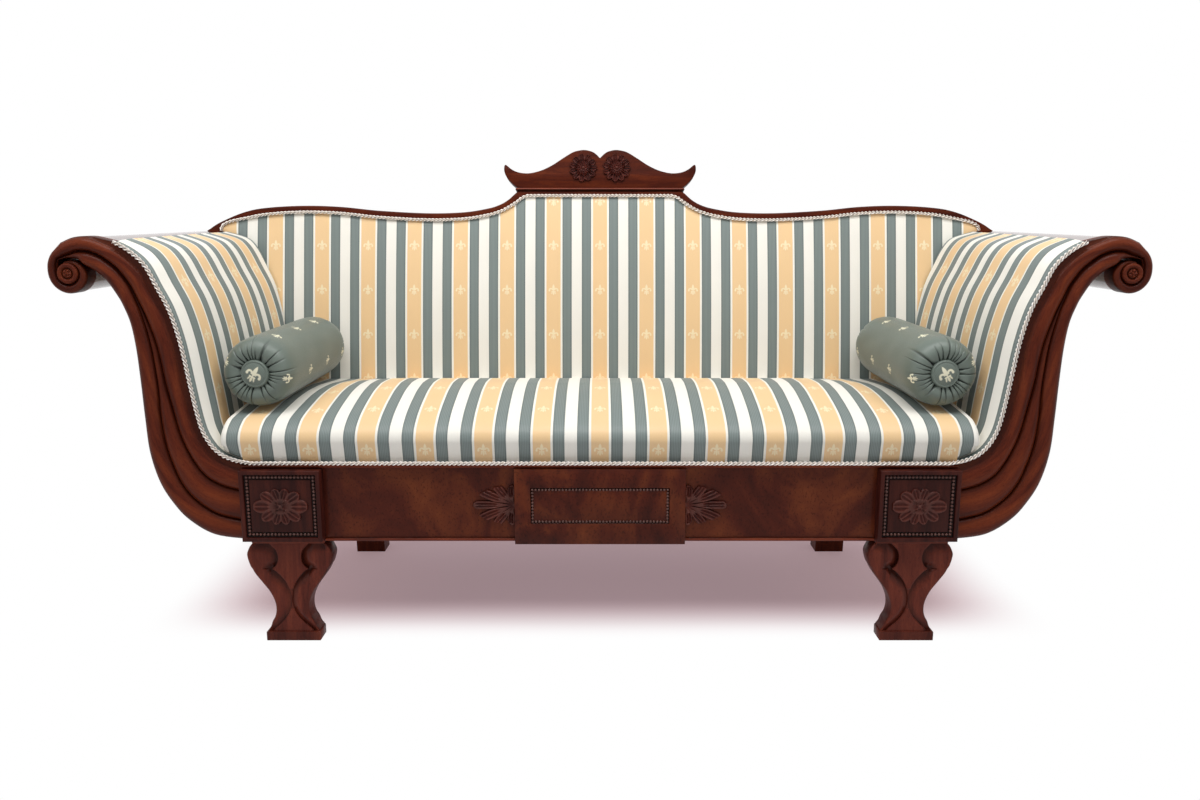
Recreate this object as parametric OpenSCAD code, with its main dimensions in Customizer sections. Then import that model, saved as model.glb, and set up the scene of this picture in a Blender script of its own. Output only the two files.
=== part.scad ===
// Scroll-arm settee in carved mahogany with fixed striped upholstery and two loose bolsters.
// Units are millimetres. X runs along the settee, the front faces -Y, Z is up from the floor.

/* [Seat frame] */
// Width over the outer faces of the two front corner blocks
seat_w = 1394; // [1200:2:1700]
// Depth from the rail's face to the back upholstery at seat height
seat_depth = 453; // [380:1:560]
// Height of the rails' lower edge above the floor
rail_z = 208; // [150:1:260]
// Height of the seat rails
rail_h = 149; // [110:1:190]
// Thickness of the front and rear rails
rail_t = 32; // [22:1:45]
// Thickness of the side rails
side_rail_t = 36; // [24:1:50]
// Height of the moulded strip on top of the front rail
moulding_h = 7; // [4:1:10]
// How far the rail's mouldings stand out
moulding_out = 5; // [2:1:8]
// Width of the stretchers between the front and rear rails
stretcher_w = 45; // [30:1:60]

/* [Corner blocks] */
// Width of a corner block
block_w = 156; // [120:1:190]
// How far a block stands in front of the rail
block_out = 24; // [12:1:32]
// How far a block reaches behind the rail's face
block_back = 60; // [45:1:80]
// Height of the block's lower face above the rail's lower edge
block_lift = 6; // [2:1:12]
// Width of the plain border round the block's panel
block_border = 8; // [5:1:14]
// Depth of the sunk panel
block_sink = 7; // [3:1:10]
// Radius of the block's rosette
block_rosette_r = 45; // [34:1:52]
// Radius of one bead
bead_r = 3.6; // [2.5:0.1:4.6]

/* [Centre plaque] */
// Width of the plaque on the front rail
plaque_w = 334; // [240:2:420]
// How far the plaque stands out of the rail
plaque_out = 10; // [5:1:16]
// How far the plaque hangs below the rail
plaque_drop = 4; // [1:1:8]
// Width of the bead frame on the plaque
bead_frame_w = 264; // [200:2:300]
// Height of the bead frame on the plaque
bead_frame_h = 66; // [44:1:84]
// Radius of one bead on the plaque
plaque_bead_r = 2.6; // [1.8:0.1:3.2]
// Length of the palmette beside the plaque
palmette_l = 82; // [60:1:100]

/* [Legs] */
// Distance from the block's outer face in to a front leg's middle line
leg_in = 82; // [70:1:110]
// Greatest width of a front leg
leg_w = 170; // [130:1:190]
// Thickness of a front leg
leg_t = 40; // [30:1:52]
// Distance from the block's face back to the leg's face
leg_inset = 17; // [10:1:24]
// Height of the flat slab under the block
leg_slab_h = 10; // [6:1:14]
// How far the carved lobes stand out of the leg
lobe_h = 8; // [4:1:12]
// Width of a rear leg
rear_leg_w = 70; // [50:1:80]
// Depth of a rear leg at the floor
rear_leg_d = 50; // [36:1:64]
// Distance from the corner block's outer face in to a rear leg's middle line
rear_leg_in = 117; // [90:1:200]
// How far the rear leg's foot stands behind its top
rear_leg_splay = 17; // [0:1:30]

/* [Arms] */
// Distance that an arm reaches out beyond the corner block
arm_reach = 340; // [270:1:400]
// Height that an arm rises above the rails' lower edge
arm_rise = 598; // [500:1:700]
// Thickness of the carved facing behind its face
facing_t = 30; // [20:1:40]
// Greatest height of a reed above the face
reed_h = 9; // [5:1:12]
// Depth of the grooves between the reeds
groove_d = 4; // [2:1:7]
// Width of the flat fillet beside the upholstery
fillet_w = 17; // [10:1:22]
// Radius of the boss in the scroll's eye
boss_r = 16.5; // [12:0.5:19]
// Height of the boss above the face
boss_h = 7; // [4:1:12]
// Thickness of the arm's upholstery
arm_pad_t = 38; // [28:1:42]
// Thickness of the boards that carry the arm's upholstery
arm_board_t = 16; // [10:1:20]
// Thickness of the stuffed cloth on the arm's outside
arm_cover_t = 10; // [5:1:14]

/* [Back] */
// Angle by which the back leans
rake = 9.6; // [6:0.1:13]
// Height of the line where the back meets the seat, above the front rail's moulding
back_lift = 84; // [60:1:110]
// Height of the back's upholstery above the arms
back_over = 83; // [40:1:140]
// Thickness of the back's upholstery
back_pad_t = 28; // [20:1:36]
// Thickness of the back's frame
back_frame_t = 25; // [18:1:34]
// Thickness of the cloth on the outside of the back
back_cover_t = 3; // [2:0.5:6]
// Width of the crest board over its two horns
crest_w = 464; // [380:2:560]
// Height of the crest board
crest_h = 95; // [70:1:120]
// Thickness of the crest board
crest_t = 34; // [22:1:44]
// Height of the moulded ledge under the crest
ledge_h = 6; // [4:1:10]
// Radius of a crest rosette
crest_rosette_r = 32; // [24:1:36]

/* [Upholstery] */
// Height of the crown of the seat above the line where it meets the back
seat_crown = 36; // [20:1:50]
// Share of the seat's crown that is lost beside the arms
side_ease_share = 0.6; // [0.3:0.05:0.8]
// How far the seat reaches out over the corner block, into the curve of the arm
seat_over = 39; // [20:1:46]
// Greatest swell of the back's upholstery
back_swell = 10; // [4:1:16]
// How far the arm's upholstery stands off its facing once it has come round the front edge
arm_round = 16; // [10:1:20]
// How much further it stands off at the back
arm_extra = 12; // [0:1:16]
// Diameter of the twisted cord
cord_d = 8; // [6:0.5:10]
// Width of a strip of webbing
web_w = 50; // [35:1:60]
// Thickness of webbing
web_t = 2; // [1:0.5:3]
// Radius of a seat spring at its ends
spring_r = 42; // [30:1:50]

/* [Bolsters] */
// Diameter of a bolster
bolster_d = 142; // [110:1:160]
// Length of a bolster over its domed ends
bolster_l = 408; // [320:1:415]
// Diameter of the covered button on a bolster's end
button_d = 56; // [36:1:70]
// Distance from the block's outer face in to a bolster's middle line
bolster_in = 17; // [8:1:80]

/* [Hidden] */
$fn = 48;

// Finishes
mahogany = [0.29, 0.10, 0.06];
beech = [0.72, 0.55, 0.38];
stripe_green = [0.42, 0.50, 0.46];
stripe_tan = [0.86, 0.70, 0.46];
cream = [0.93, 0.89, 0.82];
jute = [0.62, 0.52, 0.38];
steel = [0.55, 0.55, 0.57];
black_cloth = [0.12, 0.12, 0.12];

// Shared clearances and overruns
cut = 1;
soft_gap = 0.4;
seat_gap = 1;

// Heights and places that follow from the sizes above
arm_x0 = seat_w / 2;
rail_top = rail_z + rail_h;
seat_z = rail_top + moulding_h;
back_z = seat_z + back_lift;
back_rise = (rail_z + arm_rise + back_over - back_z) / cos(rake);
leg_x = arm_x0 - leg_in;
rear_leg_x = arm_x0 - rear_leg_in;
block_x = arm_x0 - block_w / 2;
block_in = arm_x0 - block_w;
block_z = rail_z + block_lift;
leg_h = block_z;
leg_face = leg_inset - block_out;
frame_w0 = back_pad_t + web_t;
frame_w1 = frame_w0 + back_frame_t;
crest_w0 = 6;
neck_share = 1.0246;
ledge_v = back_rise * neck_share;
crest_v = ledge_v + ledge_h;

// Rows up the arm, from the corner block to the top of the scroll: the inner and the outer edge, as shares
// of arm_reach and arm_rise, then the places of the two grooves as shares of the width between the edges
band_shares = [
    [0.000, 0.268, 0.000, 0.004, 0.375, 0.759], [0.085, 0.286, 0.188, 0.020, 0.367, 0.735],
    [0.138, 0.308, 0.329, 0.070, 0.375, 0.723], [0.176, 0.336, 0.415, 0.129, 0.367, 0.716],
    [0.203, 0.368, 0.482, 0.201, 0.364, 0.682], [0.221, 0.403, 0.524, 0.301, 0.390, 0.683],
    [0.238, 0.452, 0.535, 0.418, 0.434, 0.683], [0.262, 0.540, 0.541, 0.528, 0.494, 0.653],
    [0.294, 0.661, 0.550, 0.639, 0.529, 0.660], [0.341, 0.764, 0.568, 0.722, 0.590, 0.675],
    [0.400, 0.838, 0.600, 0.778, 0.590, 0.635], [0.450, 0.900, 0.626, 0.809, 0.584, 0.610],
    [0.515, 0.941, 0.674, 0.853, 0.570, 0.595], [0.600, 0.973, 0.715, 0.878, 0.552, 0.577],
    [0.685, 0.988, 0.750, 0.893, 0.500, 0.530], [0.765, 0.997, 0.788, 0.905, 0.500, 0.530],
    [0.847, 0.993, 0.826, 0.925, 0.620, 0.660], [0.915, 0.977, 0.885, 0.930, 0.820, 0.870]];
// The scroll's eye as shares of arm_reach and arm_rise, and its radius as a share of arm_rise
eye_x_share = 0.885;
eye_z_share = 0.881;
scroll_r_share = 0.0652;
// The scroll's radius at angles from the outward horizontal: how much is left of the way in to the tail
scroll_angles = [60, 30, 5, -30, -90, -135, -180, -215, -240, -270, -290];
scroll_left_shares = [1.62, 1.22, 1.00, 0.93, 0.95, 0.84, 0.74, 0.44, 0.24, 0.06, 0.00];
scroll_hole_shares = [0.60, 0.20, 0.03, 0.00, 0.00, 0.00, 0.00, 0.00, 0.00, 0.00, 0.00];
tail_w = 5;
eye_gap = 0.8;
// Where along the rows the upholstery thins, where it ends and where the roll takes over from the boards
band_last = len(band_shares) - 1;
thin_share = 0.53;
pad_end_share = 0.7765;
roll_start_share = 0.706;
pad_end = band_last * pad_end_share;
roll_start = band_last * roll_start_share;

// Upper edge of the back's top rail, from the tip beside the scroll in to the neck, as shares of the tip's
// distance from the middle and of back_rise
tip_share = 0.756;
rail_edge_shares = [[1.006, 0.806], [0.974, 0.852], [0.906, 0.912], [0.843, 0.935], [0.750, 0.944],
    [0.660, 0.937], [0.567, 0.917], [0.443, 0.903], [0.350, 0.908], [0.289, 0.928], [0.258, 0.948],
    [0.235, 0.976], [0.208, neck_share]];
// Upper edge of the back's upholstery
pad_edge_shares = [[0.966, 0.807], [0.961, 0.834], [0.940, 0.857], [0.906, 0.876], [0.843, 0.900],
    [0.750, 0.910], [0.660, 0.903], [0.567, 0.882], [0.443, 0.868], [0.350, 0.873], [0.289, 0.893],
    [0.258, 0.912], [0.236, 0.934], [0.212, 0.967], [0.199, 0.988], [0.184, 1.000]];
// Where the cloth's rounded corner starts, as a share of the tip's distance
corner_share = 0.906;
// Lowest line of the rail beside the corner, under the arm's roll that it is then cut to
rail_low_share = 0.785;
// Outline of half the crest board, from the notch out over the lobe to the horn and back underneath
crest_shares = [[0.000, 0.790], [0.040, 0.890], [0.085, 0.960], [0.155, 1.000], [0.216, 0.990],
    [0.289, 0.939], [0.392, 0.788], [0.500, 0.615], [0.608, 0.486], [0.711, 0.415], [0.790, 0.400],
    [0.871, 0.432], [0.935, 0.505], [1.000, 0.620], [1.012, 0.470], [0.985, 0.300], [0.930, 0.140],
    [0.860, 0.000]];
// A front leg from the floor up: height, half width and the lobes' inner edge, the last two as shares of
// half the leg's width
leg_shares = [[0.000, 0.635, 0.635], [0.090, 0.635, 0.635], [0.100, 0.605, 0.590], [0.135, 0.545, 0.450],
    [0.187, 0.500, 0.330], [0.241, 0.430, 0.190], [0.315, 0.394, 0.054], [0.404, 0.418, 0.012],
    [0.502, 0.518, 0.012], [0.596, 0.676, 0.104], [0.685, 0.829, 0.235], [0.735, 0.890, 0.420],
    [0.778, 0.947, 0.330], [0.872, 1.000, 0.292], [0.936, 0.953, 0.360], [0.975, 0.894, 0.500],
    [1.000, 0.835, 0.560]];
// Height of the seat's surface from front to back: share of seat_depth, then share of the crown
seat_top_shares = [[0.000, -1.10], [0.010, -0.62], [0.033, -0.28], [0.090, 0.15], [0.160, 0.42],
    [0.225, 0.62], [0.330, 0.88], [0.430, 0.99], [0.500, 1.00], [0.655, 0.84], [0.820, 0.42], [0.940, 0.12],
    [1.000, 0.00]];

// A smooth curve through points of any number of values, in so many steps from each to the next
function curve_at(p, i, u) =
    let (n = len(p) - 1, a = p[max(i - 1, 0)], b = p[i], c = p[min(i + 1, n)], d = p[min(i + 2, n)])
    0.5 * (2 * b + (c - a) * u + (2 * a - 5 * b + 4 * c - d) * u * u + (3 * b - 3 * c + d - a) * u * u * u);
function curve(p, steps) = concat([for (i = [0:len(p) - 2], k = [0:steps - 1]) curve_at(p, i, k / steps)],
    [p[len(p) - 1]]);
function along(p, t) = let (i = min(floor(t), len(p) - 2)) curve_at(p, i, t - i);
function smooth(t) = let (u = max(0, min(1, t))) u * u * (3 - 2 * u);
function reversed(list) = [for (i = [len(list) - 1:-1:0]) list[i]];
function scaled(list, a, b) = [for (p = list) [p[0] * a, p[1] * b]];

// A closed skin over rings that all have the same number of points
module skin(rings) {
    n = len(rings[0]);
    m = len(rings);
    points = [for (ring = rings, p = ring) p];
    walls = [for (i = [0:m - 2], j = [0:n - 1]) let (a = i * n + j, b = i * n + (j + 1) % n)
        each [[a, b, b + n], [a, b + n, a + n]]];
    polyhedron(points, concat(walls, [[for (j = [n - 1:-1:0]) j]], [[for (j = [0:n - 1]) (m - 1) * n + j]]),
        convexity = 8);
}

// Places on the slope of the back: x, length up the slope, depth into the back
function slope_y(v, w) = seat_depth + v * sin(rake) + w * cos(rake);
function slope_z(v, w) = back_z + v * cos(rake) - w * sin(rake);
function slope_v(z, w) = (z - back_z + w * sin(rake)) / cos(rake);
function at_slope(x, v, w) = [x, slope_y(v, w), slope_z(v, w)];
// Depth of the plane w deep in the back, at a height z
function plane_y(z, w) = seat_depth + (z - back_z) * tan(rake) + w / cos(rake);

rear_y = max(slope_y(crest_v + crest_h, crest_w0 + crest_t), slope_y(crest_v, frame_w1 + moulding_out));
front_face_y = (block_out - rear_y) / 2;

// Everything below is drawn with the rail's face at Y = 0 and then moved to the middle
module placed() translate([0, front_face_y, 0]) children();
module both(side) mirror([side < 0 ? 1 : 0, 0, 0]) children();
module on_slope() translate([0, seat_depth, back_z]) rotate([-rake, 0, 0]) children();
// A panel on the slope, from its outline in x and v, between two depths
module slope_panel(outline, w0, w1)
    on_slope() translate([0, w1, 0]) rotate([90, 0, 0]) linear_extrude(w1 - w0) polygon(outline);
// Everything behind a plane w deep in the back
module behind_slope(w) {
    far = seat_w + arm_reach;
    on_slope() translate([-far, w, -far]) cube([2 * far, far, 2 * far]);
}
module upright_panel(outline, y0, y1) translate([0, y1, 0]) rotate([90, 0, 0]) linear_extrude(y1 - y0)
    polygon(outline);
// A box from its lowest to its highest corner
module box(low, high) translate(low) cube(high - low);

// The arm's band: points in x and z at a place t along the rows
function band_row(t) = along(band_shares, t);
function share_point(a, b) = [arm_x0 + a * arm_reach, rail_z + b * arm_rise];
function band_in(t) = let (r = band_row(t)) share_point(r[0], r[1]);
function band_out(t) = let (r = band_row(t)) share_point(r[2], r[3]);
// The point d in from the inner edge, or d in from the outer edge
function from_in(t, d) = let (a = band_in(t), b = band_out(t)) a + (b - a) * d / norm(b - a);
function from_out(t, d) = let (a = band_in(t), b = band_out(t)) b + (a - b) * d / norm(b - a);
function steps_to(t0, t1, n) = [for (k = [0:n]) t0 + (t1 - t0) * k / n];

eye = share_point(eye_x_share, eye_z_share);
scroll_r = scroll_r_share * arm_rise;
tail_r = boss_r + eye_gap + tail_w;
function polar(r, a) = eye + r * [cos(a), sin(a)];
function scroll_radius(share) = tail_r + (scroll_r - tail_r) * share;
scroll_rows = curve([for (i = [0:len(scroll_angles) - 1])
    [scroll_angles[i], scroll_left_shares[i], scroll_hole_shares[i]]], 3);

// Cross-section of the reeded facing between two points in x and z
function facing_ring(a, b, fillet, ab, bc) =
    let (w = norm(b - a), f = fillet / w,
        ha = min(reed_h, (ab - f) * w * 0.3), hb = min(reed_h, (bc - ab) * w * 0.3),
        hc = min(reed_h, (1 - bc) * w * 0.3), edge = groove_d / 2)
    [for (p = [[0, facing_t], [0, edge], [f, 0],
            [f + (ab - f) * 0.12, -ha * 0.5], [f + (ab - f) * 0.5, -ha], [f + (ab - f) * 0.88, -ha * 0.4],
            [ab, groove_d], [ab + (bc - ab) * 0.2, -hb * 0.5], [ab + (bc - ab) * 0.75, -hb * 0.6],
            [bc, groove_d], [bc + (1 - bc) * 0.12, -hc * 0.5], [bc + (1 - bc) * 0.5, -hc],
            [bc + (1 - bc) * 0.88, -hc * 0.4], [1, groove_d], [1, facing_t]])
        let (q = a + (b - a) * p[0]) [q[0], p[1], q[1]]];

// Outline of the roll behind the facing, drawn in by a margin
roll_inset = 2;
function roll_outline(inset) = concat(
    [for (t = steps_to(roll_start, pad_end, 3)) from_in(t, arm_pad_depth(t))],
    [for (t = steps_to(pad_end * 1.008, band_last, 10)) from_in(t, inset)],
    [for (r = scroll_rows) if (r[0] > -225) polar(scroll_radius(r[1]) - inset, r[0])],
    [polar(tail_r, scroll_angles[8] - 20)],
    [for (t = steps_to(band_last * 0.94, roll_start, 8)) from_out(t, inset)]);

// Depth of the arm's upholstery behind the inner edge, thinner where it runs out over the roll
pad_tip_t = 5;
function arm_pad_depth(t) = arm_pad_t + (pad_tip_t - arm_pad_t)
    * smooth((t / band_last - thin_share) / (pad_end_share - thin_share));

module front_rail() placed() color(mahogany)
    box([-block_in, 0, rail_z], [block_in, rail_t, rail_top]);

rear_rail_y = plane_y(rail_z, frame_w0) - rail_t;
module rear_rail() placed() color(beech)
    box([side_rail_t - arm_x0, rear_rail_y, rail_z], [arm_x0 - side_rail_t, rear_rail_y + rail_t, rail_top]);

module side_rail(side) placed() both(side) color(beech) difference() {
    box([arm_x0 - side_rail_t, block_back, rail_z], [arm_x0, plane_y(rail_top, frame_w0) + cut, rail_top]);
    behind_slope(frame_w0);
}
module side_rail_left() side_rail(-1);
module side_rail_right() side_rail(1);

stretcher_x = seat_w / 6;
module seat_stretchers() placed() color(beech) for (s = [-1, 1])
    box([s * stretcher_x - stretcher_w / 2, rail_t, rail_z], [s * stretcher_x + stretcher_w / 2,
        rear_rail_y, rail_z + stretcher_w]);

// Triangular braces in the four corners of the seat frame
brace_l = 70;
module corner_brace(x, y, sx, sy) translate([x, y, rail_z + rail_h / 3]) linear_extrude(rail_h / 3)
    polygon([[0, 0], [sx * brace_l, 0], [0, sy * brace_l]]);
module corner_braces() placed() color(beech) for (s = [-1, 1]) {
    corner_brace(s * block_in, rail_t, -s, 1);
    corner_brace(s * (arm_x0 - side_rail_t), rear_rail_y, -s, -1);
}

module rail_top_moulding() placed() color(mahogany)
    box([-arm_x0, -moulding_out, rail_top], [arm_x0, rail_t / 2, seat_z]);

module rail_bottom_moulding() placed() color(mahogany) for (s = [-1, 1]) both(s)
    translate([plaque_w / 2, 0, rail_z]) rotate([90, 0, 90]) linear_extrude(block_in - plaque_w / 2)
        polygon([[0, 0], [-moulding_out * 0.8, 0], [-moulding_out, moulding_h * 0.3],
            [-moulding_out, moulding_h * 0.7], [-moulding_out * 0.6, moulding_h], [0, moulding_h]]);

// The plaque has a sunk field inside its bead frame
field_sink = 2;
plaque_z0 = rail_z - plaque_drop;
plaque_mid = (rail_z + rail_top) / 2;
module centre_plaque() placed() color(mahogany) difference() {
    box([-plaque_w / 2, -plaque_out, plaque_z0], [plaque_w / 2, 0, rail_top]);
    box([-bead_frame_w / 2, -plaque_out - cut, plaque_mid - bead_frame_h / 2],
        [bead_frame_w / 2, -plaque_out + field_sink, plaque_mid + bead_frame_h / 2]);
}

// A domed bead that stands on a wall at y and points to the front
module bead(r, y) translate([0, y, 0]) rotate([90, 0, 0]) rotate_extrude($fn = 16)
    polygon([[0, 0], [r, 0], [r * 0.92, r * 0.38], [r * 0.7, r * 0.7], [r * 0.38, r * 0.92], [0, r]]);
// A frame of beads, w by h between the middles of its corner beads
module bead_frame(w, h, r, y) {
    nx = floor(w / (r * 2.15));
    nz = floor(h / (r * 2.15));
    for (i = [0:nx], s = [-1, 1]) translate([-w / 2 + i * w / nx, 0, s * h / 2]) bead(r, y);
    for (i = [1:nz - 1], s = [-1, 1]) translate([s * w / 2, 0, -h / 2 + i * h / nz]) bead(r, y);
}

module plaque_beads() placed() color(mahogany) translate([0, 0, plaque_mid])
    bead_frame(bead_frame_w - 2.4 * plaque_bead_r, bead_frame_h - 2.4 * plaque_bead_r, plaque_bead_r,
        field_sink - plaque_out);

// A half rosette: a fan of lobes that springs from the plaque's edge
fan_lobes = 7;
palmette_t = 6;
fan_high_share = 0.7;
function fan_radius(a) = palmette_l * (0.62 + 0.38 * cos(a)) * (0.72 + 0.28 * abs(cos(a * fan_lobes / 2)));
module palmette(side) placed() both(side) color(mahogany)
    translate([plaque_w / 2, 0, plaque_mid]) rotate([90, 0, 0]) linear_extrude(palmette_t)
        polygon([for (a = [-90:3:90]) fan_radius(a) * [cos(a), fan_high_share * sin(a)]]);
module palmette_left() palmette(-1);
module palmette_right() palmette(1);

// The panel is as deep as a mitred frame with a sunk square inside
block_z_mid = (block_z + rail_top) / 2;
panel_w = block_w - 2 * block_border;
panel_h = rail_top - block_z - 2 * block_border;
module corner_block(side) placed() both(side) color(mahogany) difference() {
    box([block_in, -block_out, block_z], [arm_x0, block_back, rail_top]);
    box([block_x - panel_w / 2, -block_out - cut, block_z_mid - panel_h / 2],
        [block_x + panel_w / 2, -block_out + block_sink, block_z_mid + panel_h / 2]);
}
module corner_block_left() corner_block(-1);
module corner_block_right() corner_block(1);

module block_beads(side) placed() both(side) color(mahogany) translate([block_x, 0, block_z_mid])
    bead_frame(panel_w - 3 * bead_r, panel_h - 3 * bead_r, bead_r, block_sink - block_out);
module block_beads_left() block_beads(-1);
module block_beads_right() block_beads(1);

// A carved flower: two rings of petals and a button, standing on a wall and pointing up
function petal_ring(r, n, turn, oval) = [for (a = [0:4:356])
    r * (0.74 + 0.26 * abs(cos(n * (a + turn) / 2))) * [oval[0] * cos(a), oval[1] * sin(a)]];
module rosette(r, h, oval = [1, 1]) {
    linear_extrude(h * 0.45) polygon(petal_ring(r, 10, 0, oval));
    translate([0, 0, h * 0.45]) linear_extrude(h * 0.3) polygon(petal_ring(r * 0.62, 6, 15, oval));
    translate([0, 0, h * 0.75]) rotate_extrude() polygon([[0, 0], [r * 0.2, 0], [r * 0.16, h * 0.18],
        [r * 0.08, h * 0.25], [0, h * 0.25]]);
}
block_oval = [1.19, 0.81];
module block_rosette(side) placed() both(side) color(mahogany)
    translate([block_x, block_sink - block_out, block_z_mid]) rotate([90, 0, 0])
        rosette(block_rosette_r, block_sink, block_oval);
module block_rosette_left() block_rosette(-1);
module block_rosette_right() block_rosette(1);

// A sawn leg with two carved lobes on its face, under a flat slab
function leg_ring(r) =
    let (z = r[0] * (leg_h - leg_slab_h), a = r[1] * leg_w / 2, b = min(r[2] * leg_w / 2, a - 1),
        k = lobe_h * smooth((a - b) / (leg_w * 0.12)), half = [[b, 0], [b + (a - b) * 0.12, -k * 0.6],
            [b + (a - b) * 0.45, -k], [b + (a - b) * 0.8, -k * 0.75], [a, -k * 0.1]])
    concat([[a, leg_t - lobe_h, z], [-a, leg_t - lobe_h, z]],
        [for (i = [len(half) - 1:-1:0]) [-half[i][0], half[i][1], z]], [for (p = half) [p[0], p[1], z]]);
module front_leg(side) placed() both(side) color(mahogany)
    translate([leg_x, leg_face + lobe_h, 0]) {
        skin([for (r = reversed(leg_shares)) leg_ring(r)]);
        box([-leg_w * 0.42, -lobe_h, leg_h - leg_slab_h], [leg_w * 0.42, leg_t - lobe_h, leg_h]);
    }
module front_leg_left() front_leg(-1);
module front_leg_right() front_leg(1);

// Rear leg and back post in one piece
post_top_v = back_rise * 0.8;
module rear_leg(side) placed() both(side) color(beech) {
    y0 = plane_y(rail_z, frame_w0);
    translate([rear_leg_x - rear_leg_w / 2, 0, 0]) rotate([90, 0, 90]) linear_extrude(rear_leg_w)
        polygon([[y0 + rear_leg_splay, 0], [y0 + rear_leg_splay + rear_leg_d, 0],
            [plane_y(rail_z, frame_w1), rail_z], [plane_y(rail_top, frame_w1), rail_top],
            [slope_y(post_top_v, frame_w1), slope_z(post_top_v, frame_w1)],
            [slope_y(post_top_v, frame_w0), slope_z(post_top_v, frame_w0)],
            [plane_y(rail_top, frame_w0), rail_top], [y0, rail_top], [y0, rail_z]]);
}
module rear_leg_left() rear_leg(-1);
module rear_leg_right() rear_leg(1);

module arm_facing(side) placed() both(side) color(mahogany) skin(reversed(concat(
    [for (t = steps_to(0, band_last, band_last * 3)) let (r = band_row(t),
            fillet = fillet_w * (1 - 0.9 * smooth((t / band_last - 0.65) / 0.3)))
        facing_ring(band_in(t), band_out(t), fillet, r[4], r[5])],
    [for (r = scroll_rows) facing_ring(polar(scroll_radius(r[1]), r[0]),
        polar(boss_r + eye_gap + (scroll_r - boss_r) * r[2], r[0]), fillet_w * 0.05, 0.82, 0.87)])));
module arm_facing_left() arm_facing(-1);
module arm_facing_right() arm_facing(1);

module scroll_boss(side) placed() both(side) color(mahogany)
    translate([eye[0], facing_t, eye[1]]) rotate([90, 0, 0]) rotate_extrude()
        polygon([[0, 0], [boss_r, 0], [boss_r, facing_t], [boss_r * 0.9, facing_t + boss_h * 0.4],
            [boss_r * 0.68, facing_t + boss_h * 0.5], [boss_r * 0.6, facing_t + boss_h * 0.25],
            [boss_r * 0.5, facing_t + boss_h * 0.7], [boss_r * 0.25, facing_t + boss_h],
            [0, facing_t + boss_h * 1.05]]);
module scroll_boss_left() scroll_boss(-1);
module scroll_boss_right() scroll_boss(1);

rear_far = seat_depth + back_rise;
module arm_roll(side) placed() both(side) color(mahogany) difference() {
    upright_panel(roll_outline(roll_inset), facing_t, rear_far);
    behind_slope(frame_w0);
}
module arm_roll_left() arm_roll(-1);
module arm_roll_right() arm_roll(1);

module arm_board(side) placed() both(side) color(beech) difference() {
    upright_panel(concat([for (t = steps_to(0, roll_start, 30)) from_in(t, arm_pad_depth(t))],
        [for (t = steps_to(roll_start, 0, 30)) from_in(t, arm_pad_depth(t) + arm_board_t)]),
        facing_t, rear_far);
    behind_slope(frame_w0);
}
module arm_board_left() arm_board(-1);
module arm_board_right() arm_board(1);

// The S-shaped board at the back end of the arm carries the roll, the boards and the outside cloth
module arm_rear_frame(side) placed() both(side) color(mahogany) intersection() {
    upright_panel(concat([[arm_x0 - side_rail_t, rail_z], [arm_x0 - side_rail_t, rail_top],
        [arm_x0, rail_top]], [for (t = steps_to(0, roll_start, 30)) from_in(t, arm_pad_depth(t))],
        roll_outline(roll_inset), [for (t = steps_to(roll_start * 0.967, 0, 30)) from_out(t, roll_inset)]),
        0, rear_far);
    difference() {
        behind_slope(frame_w0);
        behind_slope(frame_w1);
    }
}
module arm_rear_frame_left() arm_rear_frame(-1);
module arm_rear_frame_right() arm_rear_frame(1);

module arm_cover(side) placed() both(side) color(stripe_green) difference() {
    upright_panel(concat([for (t = steps_to(0, roll_start * 0.992, 30)) from_out(t, roll_inset)],
        [for (t = steps_to(roll_start * 0.992, 0, 30)) from_out(t, roll_inset + arm_cover_t)]),
        facing_t, rear_far);
    behind_slope(frame_w0);
}
module arm_cover_left() arm_cover(-1);
module arm_cover_right() arm_cover(1);

// The arm's upholstery rounds over the facing's inner edge and grows fuller towards the back
arm_edge = 3;
arm_round_y = 60;
extra_shares = [0.25, 0.45];
ease_shares = [0.68, pad_end_share];
end_ease = 0.6;
function arm_stand(t, y, back) =
    let (s = t / band_last, u = 1 - min(1, y / arm_round_y),
        extra = arm_extra * smooth((s - extra_shares[0]) / (extra_shares[1] - extra_shares[0])) * y / back)
    ((arm_edge + (arm_round - arm_edge) * (1 - u * u)) * arm_full(t) + extra)
        * (1 - end_ease * smooth((s - ease_shares[0]) / (ease_shares[1] - ease_shares[0])));
function arm_pad_ring(t) =
    let (thick = arm_pad_depth(t), back = plane_y(band_in(t)[1], -back_swell * 0.2) - seat_gap,
        far = back - 2 * pad_lip, high = arm_stand(t, back, back),
        depths = concat([0, 8, 18, 32, 46], [for (k = [0:4]) arm_round_y + (far - arm_round_y) * k / 4]),
        top = [for (y = depths) [-arm_stand(t, y, back), max(y, soft_gap)]],
        rear = [[-high * 0.94, back - pad_lip * 0.5], [-high * 0.7, back], [thick - soft_gap, back],
            [thick - soft_gap, facing_t + soft_gap], [-soft_gap, facing_t + soft_gap], [-soft_gap, soft_gap]])
    [for (p = concat(top, rear)) let (q = from_in(t, p[0])) [q[0], p[1], q[1]]];
module arm_pad(side) placed() both(side) color(stripe_tan)
    skin([for (t = steps_to(0, pad_end, 30)) arm_pad_ring(t)]);
module arm_pad_left() arm_pad(-1);
module arm_pad_right() arm_pad(1);

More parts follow.
